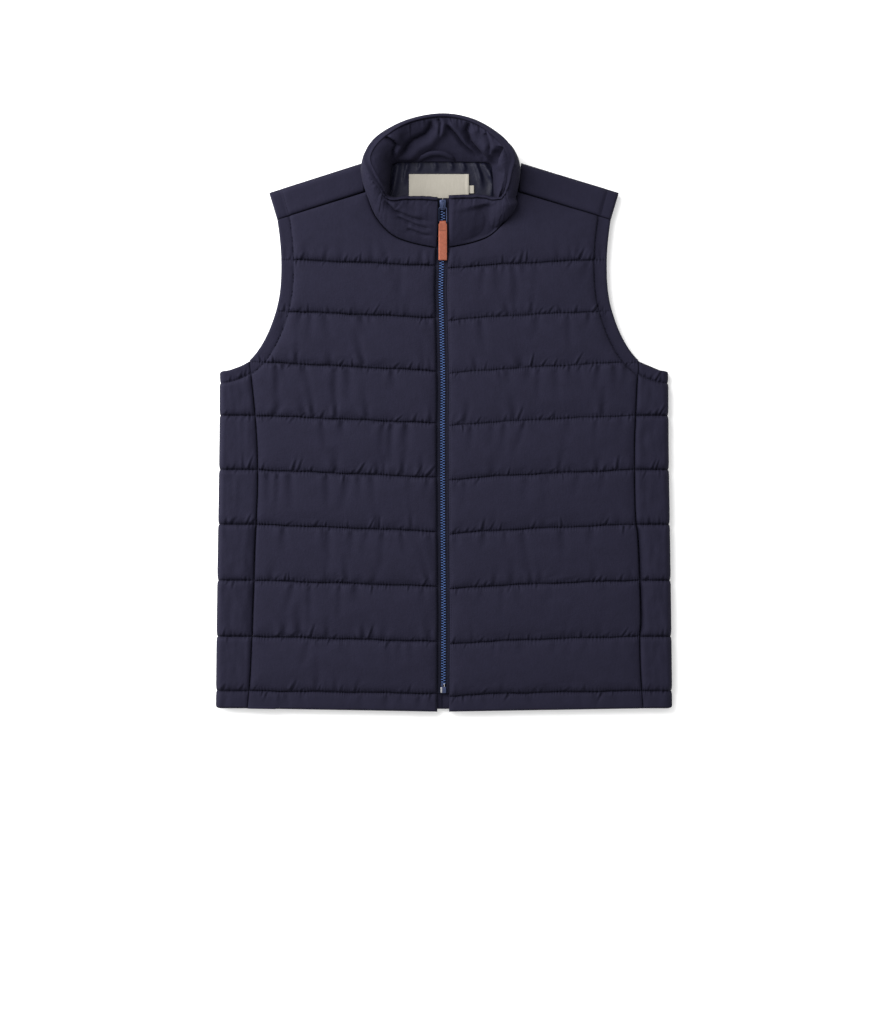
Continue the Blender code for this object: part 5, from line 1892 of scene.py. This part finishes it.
# Points round its bend and its section, spacing along it, and how square its section is
BEND_POINTS = 15
STRAP_SIDES = 24
STRAP_STEP = 0.0012
STRAP_SQUARE = 0.32
# Where its leaves come together, as distances below the bar
LEAVES_MEET = (0.020, 0.0090, 0.0040)
# Length over which it widens, and dent of its sewing as (depth, width, share of the strap)
STRAP_WIDEN = 0.0024
SEW_DENT = (0.00022, 0.0007, 0.9)
# Its slight bow: height, length, where it starts below the bar, and distance over which it grows
STRAP_BOW = (0.0004, 0.021, 0.012, 0.01)


def strap_course():
    """Side view of the strap as (y, z) points: its upper leaf, the bend round the bar and its lower leaf."""
    bar = -PULLER_LENGTH
    mid = PIN_RADIUS + BAR_GAP + TAB_LEAF / 2
    lie = TAB_LEAF / 2 + LEAF_GAP
    angle = np.linspace(0, math.pi, BEND_POINTS)
    bend = np.column_stack([bar + mid * np.sin(angle), mid * np.cos(angle)])
    low, high, last = LEAVES_MEET
    leaf = [(bar - down, lie) for down in (TAB_LENGTH, low, high)]
    upper = spline([*leaf, (bar - last, 0.5 * (lie + mid)), (bar, mid)], STRAP_STEP)
    return np.vstack([upper, bend[1:-1], (upper * [1, -1])[::-1]])


def pull_tab(look):
    """Leather strap folded round the lower bar of the puller and sewn shut below it."""
    bar = -PULLER_LENGTH
    course = strap_course()
    step = np.gradient(course, axis=0)
    normal = unit(np.column_stack([-step[:, 1], step[:, 0]]))
    around = np.linspace(0, 2 * math.pi, STRAP_SIDES, endpoint=False)
    turns = np.cos(around), np.sin(around)
    across, thick = (np.sign(turn) * np.abs(turn) ** STRAP_SQUARE for turn in turns)
    depth, dent_width, dent_share = SEW_DENT
    rings = []
    flats = []
    for (y, z), (ny, nz), s in zip(course, normal, travel(course)):
        width = TAB_NECK_WIDTH + (TAB_WIDTH - TAB_NECK_WIDTH) * smooth((bar - y) / STRAP_WIDEN)
        dent = depth * math.exp(-(((y - bar + TAB_SEW) / dent_width) ** 2))
        x = width / 2 * across
        lift = (TAB_LEAF / 2 - dent * (np.abs(across) < dent_share)) * thick
        rings.append(np.column_stack([x, y + lift * ny, z + lift * nz]))
        flats.append(columns(x, s))
    points, faces = loft(rings)
    height, length, start, over = STRAP_BOW
    bow = height * np.sin((points[:, 1] - bar) / length) * smooth((bar - start - points[:, 1]) / over)
    points[:, 2] += bow
    points = placed(points, hinge_frame())
    flat = np.vstack(flats)
    piece("pull_tab_leather", points, faces, look, body="pull", flat=flat, cad=["pull_tab"])


# Row of stitches on the strap: half width, points, height over it, and length, gap and radius of a stitch
TAB_SEW_HALF = 0.0041
TAB_SEW_POINTS = 40
TAB_SEW_UP = 0.00003
TAB_STITCH = (0.0012, 0.0004, 0.00016)


def tab_sewing(look):
    """The row of stitches across the strap, on both leaves."""
    x = np.linspace(-TAB_SEW_HALF, TAB_SEW_HALF, TAB_SEW_POINTS)
    rows = [columns(x, -PULLER_LENGTH - TAB_SEW, side * (TAB_LEAF + TAB_SEW_UP)) for side in (1, -1)]
    points, faces = stitched(rows, *TAB_STITCH)
    piece("tab_sewing", placed(points, hinge_frame()), faces, look, body="pull")


# Blocks at the foot of the zip: size, rounding of corners and edges, and place from the zip's foot
BOX_BLOCK = ((BOX_SIZE[0], 0.0080, BOX_SIZE[2]), 0.0012, 0.0007, (0.0, 0.0042, BOX_SIZE[2] / 2))
BOX_NECK = ((0.0022, 0.0052, 0.0018), 0.0007, 0.0004, (-0.0014, 0.0104, 0.0013))
RETAINER_AT = (0.0013 - BOX_SIZE[0] / 2, 0.0042, BOX_SIZE[2] + 0.00012)
RETAINER = ((0.0021, 0.0070, 0.0007), 0.0006, 0.0002, RETAINER_AT)
# Pin that goes into the box: place sideways and up, ends along the zip, points, radius and sides
PIN_AT = (0.0013, 0.0019)
PIN_ENDS = (0.0070, 0.0122)
PIN_POINTS = 9
INSERT_RADIUS = 0.00075
INSERT_SIDES = 10


def zip_box(look, bright):
    """Box at the foot of the zip, its lighter retainer on the left, and the pin that goes into it."""
    foot = np.array([ZIP_X, ZIP_BOTTOM, FRONT_FLOOR + CHAIN_UP])
    block, neck, retainer = (rounded_block(size, corner, edge, foot + place)
                             for size, corner, edge, place in (BOX_BLOCK, BOX_NECK, RETAINER))
    points, faces = joined([block, neck])
    piece("zip_box_cast", swayed(points), faces, look, cad=["zip_box"], sharp=SHARP_CAST)
    pin_path = foot + columns(PIN_AT[0], np.linspace(*PIN_ENDS, PIN_POINTS), PIN_AT[1])
    points, faces = joined([retainer, tube(pin_path, INSERT_RADIUS, INSERT_SIDES)])
    piece("zip_pin", swayed(points), faces, bright, sharp=SHARP_CAST)


# Pocket mouths: height of the turned edge and its unevenness as (height, length), and its share at the ends
POCKET_LIP = 0.0024
LIP_WAVE = (0.0004, 0.011)
LIP_LEAST = 0.35
LIP_STEP = 0.0015
LIP_POINTS = 9
# Gaps at the ends of the mouth, beside the panels and over the floor, and the least half width
LIP_END = 0.004
LIP_GAP = 0.0001
LIP_UP = 0.0002
LIP_HALF = 0.00012


def pocket_edge(side, look):
    """Turned edge of the cloth that shows in the mouth of the pocket in a side seam."""
    seam = side_seam(side, LIP_STEP)
    seam = seam[(seam[:, 1] < POCKET_TOP - LIP_END) & (seam[:, 1] > POCKET_BOTTOM + LIP_END)]
    angle = np.linspace(0, math.pi, LIP_POINTS)
    foot = FRONT_FLOOR + LIP_UP
    rings = []
    flats = []
    for half, y in seam:
        ends = mouth_at(y)
        inner = half - POCKET_OPEN * ends - SEAM_GAP / 2 + LIP_GAP
        outer = half + SEAM_GAP / 2 - LIP_GAP
        middle = (inner + outer) / 2
        reach = max((outer - inner) / 2, LIP_HALF)
        top = FRONT_FLOOR + (POCKET_LIP + LIP_WAVE[0] * math.sin(y / LIP_WAVE[1])) * at_least(LIP_LEAST, ends)
        arc = np.column_stack([middle + reach * np.cos(angle), top - reach + reach * np.sin(angle)])
        ring = np.vstack([[(outer, foot)], arc, [(inner, foot)]])
        rings.append(columns(SIDES[side] * ring[:, 0], y, ring[:, 1]))
        flats.append(columns(travel(ring), y))
    points, faces = loft(rings)
    name = "pocket_edge_" + side
    obj = piece(name + "_turned", points, faces, look, flat=np.vstack(flats), cad=[name])


# Sewing

STITCH_LENGTH = 0.0026
STITCH_GAP = 0.0007
THREAD = 0.00021
STITCH_SEED = 5
THREAD_SIDES = 6
# How stitches and gaps vary, and one stitch as rows of (share along it, lift and thickness in thread radii)
STITCH_VARY = (0.93, 1.04)
GAP_VARY = (0.8, 1.25)
STITCH = ((0.0, -0.7, 0.55), (0.12, 0.3, 0.95), (0.5, 0.75, 1.0), (0.88, 0.3, 0.95), (1.0, -0.7, 0.55))


def stitched(runs, length=STITCH_LENGTH, gap=STITCH_GAP, radius=THREAD):
    """Points and faces of rows of stitches along runs of (x, y, z) points."""
    draw = np.random.default_rng(STITCH_SEED)
    share, lift, thick = np.array(STITCH).T
    parts = []
    for run in runs:
        total = travel(run)[-1]
        at = 0.5 * gap
        while at + length < total:
            reach = length * draw.uniform(*STITCH_VARY)
            path = point_at(run, at + reach * share)
            path[:, 2] += radius * lift
            parts.append(tube(path, radius * thick, THREAD_SIDES))
            at += reach + gap * draw.uniform(*GAP_VARY)
    return joined(parts)


# Materials

# Ranges that are carried to shades: all of a factor, and where soft noise mostly lies
WHOLE = (0, 1)
NOISE = (0.3, 0.7)
SOFT_DETAIL = 3.0
PLAIN_DETAIL = 2.0
FULL_DETAIL = 4.0
NOISE_ROUGHNESS = 0.55
# Blender's wave texture turns by this many radians over a unit; its threads waver a little
WAVE_RADIANS = 20
THREAD_WAVER = {"Distortion": 0.4, "Detail": 1.0, "Detail Scale": 0.6}
GLOSS = "Specular IOR Level"


class Look:
    """A node material that is built up by adding and linking nodes."""

    def __init__(self, name, colour, roughness, sockets):
        self.material = bpy.data.materials.new(name)
        self.material.use_nodes = True
        self.material.diffuse_color = (*colour, 1)
        self.tree = self.material.node_tree
        self.shader = self.tree.nodes["Principled BSDF"]
        self.colour = colour
        self.set(self.shader, {"Base Color": (*colour, 1), "Roughness": roughness, **sockets})

    def set(self, node, sockets):
        """Sets sockets of a node to values, or links them to other sockets."""
        for name, value in sockets.items():
            if isinstance(value, bpy.types.NodeSocket):
                self.tree.links.new(value, node.inputs[name])
            else:
                node.inputs[name].default_value = value
        return node

    def add(self, kind, sockets=(), **settings):
        """Adds a node."""
        node = self.tree.nodes.new("ShaderNode" + kind)
        for name, value in settings.items():
            setattr(node, name, value)
        return self.set(node, dict(sockets))

    def body(self):
        """Place on the piece as it is modelled, in metres."""
        return self.add("TexCoord").outputs["Object"]

    def cloth(self, scale=(1, 1, 1)):
        """Place on the cut cloth, in metres, stretched by a scale."""
        place = self.add("UVMap", uv_map="cloth")
        return self.add("Mapping", {"Vector": place.outputs["UV"], "Scale": scale}).outputs["Vector"]

    def noise(self, place, size, detail=SOFT_DETAIL):
        """Soft noise with features of about a size in metres."""
        sockets = {"Vector": place, "Scale": 1 / size, "Detail": detail, "Roughness": NOISE_ROUGHNESS}
        return self.add("TexNoise", sockets).outputs["Fac"]

    def threads(self, place, pitch, direction):
        """Ridges of threads at a pitch in metres."""
        sockets = {"Vector": place, "Scale": 2 * math.pi / (WAVE_RADIANS * pitch), **THREAD_WAVER}
        made = self.add("TexWave", sockets, wave_type="BANDS", bands_direction=direction, wave_profile="SIN")
        return made.outputs["Fac"]

    def combine(self, operation, *values):
        """Result of an operation on values."""
        return self.add("Math", dict(enumerate(values)), operation=operation).outputs["Value"]

    def between(self, factor, start, end):
        """A factor carried from one range to another."""
        sockets = {"From Min": start[0], "From Max": start[1], "To Min": end[0], "To Max": end[1]}
        return self.add("MapRange", {"Value": factor, **sockets}).outputs["Result"]

    def shade(self, share, *others):
        """Multiplies the base colour by one or more factors."""
        for other in others:
            share = self.combine("MULTIPLY", share, other)
        made = self.add("VectorMath", {0: self.colour, "Scale": share}, operation="SCALE")
        self.set(self.shader, {"Base Color": made.outputs["Vector"]})

    def bump(self, depth, *heights):
        """Small relief of a depth in metres, from one or more heights with their shares."""
        total = 0.0
        for height, share in heights:
            total = self.combine("MULTIPLY_ADD", height, share, total)
        made = self.add("Bump", {"Height": total, "Distance": depth})
        self.set(self.shader, {"Normal": made.outputs["Normal"]})


# Weave: pitch of the weft to that of the warp, stretch and size of slubs, sizes of the mottle and the crinkle
WEFT = 1.12
SLUB_STRETCH = (1, 0.06, 1)
SLUB = 0.0009
MOTTLE = 0.014
CRINKLE = 0.0042
# Shades that the weave and the slubs give, and shares of the weave and the crinkle in the relief
WEAVE_SHADE = (0.88, 1.06)
SLUB_SHADE = (0.95, 1.05)
WEAVE_RELIEF = 0.12
CRINKLE_RELIEF = 0.9


def woven(name, colour, roughness, pitch, mottle, relief, gloss):
    """A plain weave with slubs, a soft mottle and a fine crinkle."""
    look = Look(name, colour, roughness, {GLOSS: gloss})
    place = look.cloth()
    weave = look.combine("MAXIMUM", look.threads(place, pitch, "X"), look.threads(place, pitch * WEFT, "Y"))
    slub = look.noise(look.cloth(SLUB_STRETCH), SLUB, PLAIN_DETAIL)
    cloud = look.noise(place, MOTTLE, FULL_DETAIL)
    mottled = look.between(cloud, NOISE, (1 - mottle, 1 + mottle))
    look.shade(look.between(weave, WHOLE, WEAVE_SHADE), mottled, look.between(slub, NOISE, SLUB_SHADE))
    look.bump(relief, (weave, WEAVE_RELIEF), (look.noise(place, CRINKLE), CRINKLE_RELIEF))
    return look.material


# Satin: colour, roughness and gloss, pitch of its twill, size of its unevenness, their shades and its relief
SATIN = ((0.0062, 0.0065, 0.0162), 0.5, {GLOSS: 0.15})
TWILL = 0.0004
SATIN_CLOUD = 0.010
TWILL_SHADE = (0.92, 1.05)
SATIN_SHADE = (0.93, 1.07)
TWILL_RELIEF = 0.1
SATIN_RELIEF = 0.0006


def satin(name):
    """A smooth lining with a fine twill line."""
    look = Look(name, *SATIN)
    place = look.cloth()
    twill = look.threads(place, TWILL, "DIAGONAL")
    cloud = look.noise(place, SATIN_CLOUD)
    look.shade(look.between(twill, WHOLE, TWILL_SHADE), look.between(cloud, NOISE, SATIN_SHADE))
    look.bump(SATIN_RELIEF, (twill, TWILL_RELIEF), (cloud, 1.0))
    return look.material


# Moulded surfaces: shade and gloss of their unevenness, size of their fine relief as a share, and its depth
CAST_SHADE = (0.85, 1.15)
CAST_GLOSS = 0.06
CAST_FINE = 3
CAST_RELIEF = 0.00005


def moulded(name, colour, roughness, metallic, size):
    """A moulded or cast surface with slight unevenness of shade and gloss."""
    look = Look(name, colour, roughness, {"Metallic": metallic})
    place = look.body()
    cloud = look.noise(place, size)
    look.shade(look.between(cloud, NOISE, CAST_SHADE))
    dull = look.between(cloud, NOISE, (roughness - CAST_GLOSS, roughness + CAST_GLOSS))
    look.set(look.shader, {"Roughness": dull})
    look.bump(CAST_RELIEF, (look.noise(place, size / CAST_FINE, PLAIN_DETAIL), 1.0))
    return look.material


# Leather: colour, roughness and gloss, sizes of its grain and mottle, their shades and relief
LEATHER = ((0.219, 0.057, 0.029), 0.55, {GLOSS: 0.35})
GRAIN = 0.0007
GRAIN_RANGE = (0, 0.8)
GRAIN_SHADE = (0.86, 1.08)
LEATHER_CLOUD = 0.005
LEATHER_SHADE = (0.86, 1.12)
LEATHER_MOTTLE = 0.6
LEATHER_RELIEF = 0.00025
# Paler edges: from where to where across the strap, and their shades; the left edge is paler again over a
# wider strip
CUT_EDGE = (TAB_WIDTH / 2 - 0.0004, TAB_WIDTH / 2)
CUT_SHADE = (1.0, 1.25)
LEFT_PALE_EDGE = (-TAB_WIDTH / 2 + 0.0018, -TAB_WIDTH / 2 + 0.0008)
LEFT_PALE_SHADE = (1.0, 1.4)


def hide(name):
    """Tan leather with a fine grain, paler at its cut edges, most of all on the left."""
    look = Look(name, *LEATHER)
    place = look.cloth()
    cells = look.add("TexVoronoi", {"Vector": place, "Scale": 1 / GRAIN, "Randomness": 1.0}, feature="F1")
    grain = cells.outputs["Distance"]
    cloud = look.noise(place, LEATHER_CLOUD, FULL_DETAIL)
    across = look.add("SeparateXYZ", {"Vector": place}).outputs["X"]
    cut = look.between(look.combine("ABSOLUTE", across), CUT_EDGE, CUT_SHADE)
    # A wider strip along the left edge of the strap, made paler still
    left_pale = look.between(across, LEFT_PALE_EDGE, LEFT_PALE_SHADE)
    grained = look.between(grain, GRAIN_RANGE, GRAIN_SHADE)
    look.shade(grained, look.between(cloud, NOISE, LEATHER_SHADE), cut, left_pale)
    look.bump(LEATHER_RELIEF, (grain, 1.0), (cloud, LEATHER_MOTTLE))
    return look.material


# Woven cloths: colour, roughness, pitch of the threads, mottle, relief and gloss
CLOTHS = {
    "shell": ((0.0100, 0.0093, 0.0203), 0.85, 0.0006, 0.06, 0.0004, 0.10),
    "thread": ((0.0060, 0.0056, 0.0130), 0.8, 0.0004, 0.05, 0.0001, 0.10),
    "tab_thread": ((0.0500, 0.0150, 0.0100), 0.8, 0.0004, 0.05, 0.0001, 0.10),
    "zip_tape": ((0.0086, 0.0086, 0.0190), 0.85, 0.0009, 0.05, 0.0003, 0.15),
    "label": ((0.305, 0.285, 0.246), 0.9, 0.0005, 0.03, 0.0002, 0.2),
}
# Moulded and cast surfaces: colour, roughness, share of metal, and size of their unevenness
CASTS = {
    "zip_teeth": ((0.052, 0.102, 0.260), 0.30, 0.0, 0.004),
    "zip_metal": ((0.030, 0.042, 0.096), 0.36, 0.5, 0.003),
    "zip_silver": ((0.440, 0.430, 0.430), 0.32, 0.9, 0.003),
}


# Stage

FLOOR_Z = -0.0005
FLOOR_SIZE = 12
# Floor: colour, roughness and glow, then size and shades of its slight unevenness
FLOOR = ((0.92, 0.92, 0.92), 0.9, {"Emission Color": (1, 1, 1, 1), "Emission Strength": 0.2})
FLOOR_CLOUD = 0.6
FLOOR_SHADE = (0.995, 1.005)
# Lights: name, place, size and power; then the even light from all sides
LIGHTS = (
    ("key", (-0.90, 1.00, 1.60), 1.4, 48),
    ("side", (-2.30, 0.50, 0.75), 1.6, 80),
)
EVEN_LIGHT = 0.76
LENS_MM = 85
SENSOR_MM = 36


def lay_floor():
    """A plain pale floor under the vest."""
    bpy.ops.mesh.primitive_plane_add(size=FLOOR_SIZE, location=(0, 0, FLOOR_Z))
    floor = bpy.context.object
    floor.name = "floor"
    look = Look("floor", *FLOOR)
    look.shade(look.between(look.noise(look.body(), FLOOR_CLOUD, PLAIN_DETAIL), NOISE, FLOOR_SHADE))
    floor.data.materials.append(look.material)


def set_lights(scene):
    """Even light from all sides and soft light from the upper left."""
    world = bpy.data.worlds.new("studio")
    world.use_nodes = True
    background = world.node_tree.nodes["Background"]
    background.inputs["Color"].default_value = (1, 1, 1, 1)
    background.inputs["Strength"].default_value = EVEN_LIGHT
    scene.world = world
    for name, place, size, energy in LIGHTS:
        light = bpy.data.lights.new(name, "AREA")
        light.shape = "DISK"
        light.size = size
        light.energy = energy
        lamp = bpy.data.objects.new(name, light)
        lamp.location = place
        lamp.rotation_euler = (-lamp.location).to_track_quat("-Z", "Y").to_euler()
        scene.collection.objects.link(lamp)


def set_camera(scene):
    """The camera straight above."""
    lens = bpy.data.cameras.new("camera")
    lens.lens = LENS_MM
    lens.sensor_width = SENSOR_MM
    camera = bpy.data.objects.new("camera", lens)
    camera.location = EYE
    scene.collection.objects.link(camera)
    scene.camera = camera


def stage():
    """Floor, light and camera."""
    scene = bpy.context.scene
    lay_floor()
    scene.view_settings.view_transform = "Standard"
    set_lights(scene)
    set_camera(scene)


# The vest

looks = {name: woven(name, *row) for name, row in CLOTHS.items()}
looks["lining"] = satin("lining")
looks |= {name: moulded(name, *row) for name, row in CASTS.items()}
looks["leather"] = hide("leather")
shell = looks["shell"]
metal = looks["zip_metal"]

sewn = fronts(shell)
for side in SIDES:
    sewn[side] += side_panel(side, shell)
    pocket_edge(side, shell)
    sewn[side].append(shoulder(side, shell))
back_panel(shell)
sewn["collar"] = collar(shell)
lining(looks["lining"])
cloth_patch("label_woven", LABEL_SIZE, LABEL_AT, label_height, LABEL_CLOTH, looks["label"], "label")
cloth_patch("size_tag_woven", TAG_SIZE, TAG_AT, tag_height, TAG_CLOTH, looks["label"], "size_tag")
hanger_loop(shell)
for side in SIDES:
    zip_tape(side, looks["zip_tape"])
zip_chain(looks["zip_teeth"])
zip_slider(metal)
zip_puller(metal)
pull_tab(looks["leather"])
tab_sewing(looks["tab_thread"])
zip_box(metal, looks["zip_silver"])
for name, runs in sewn.items():
    points, faces = stitched(runs)
    piece("sewing_" + name, points, faces, looks["thread"])
stage()
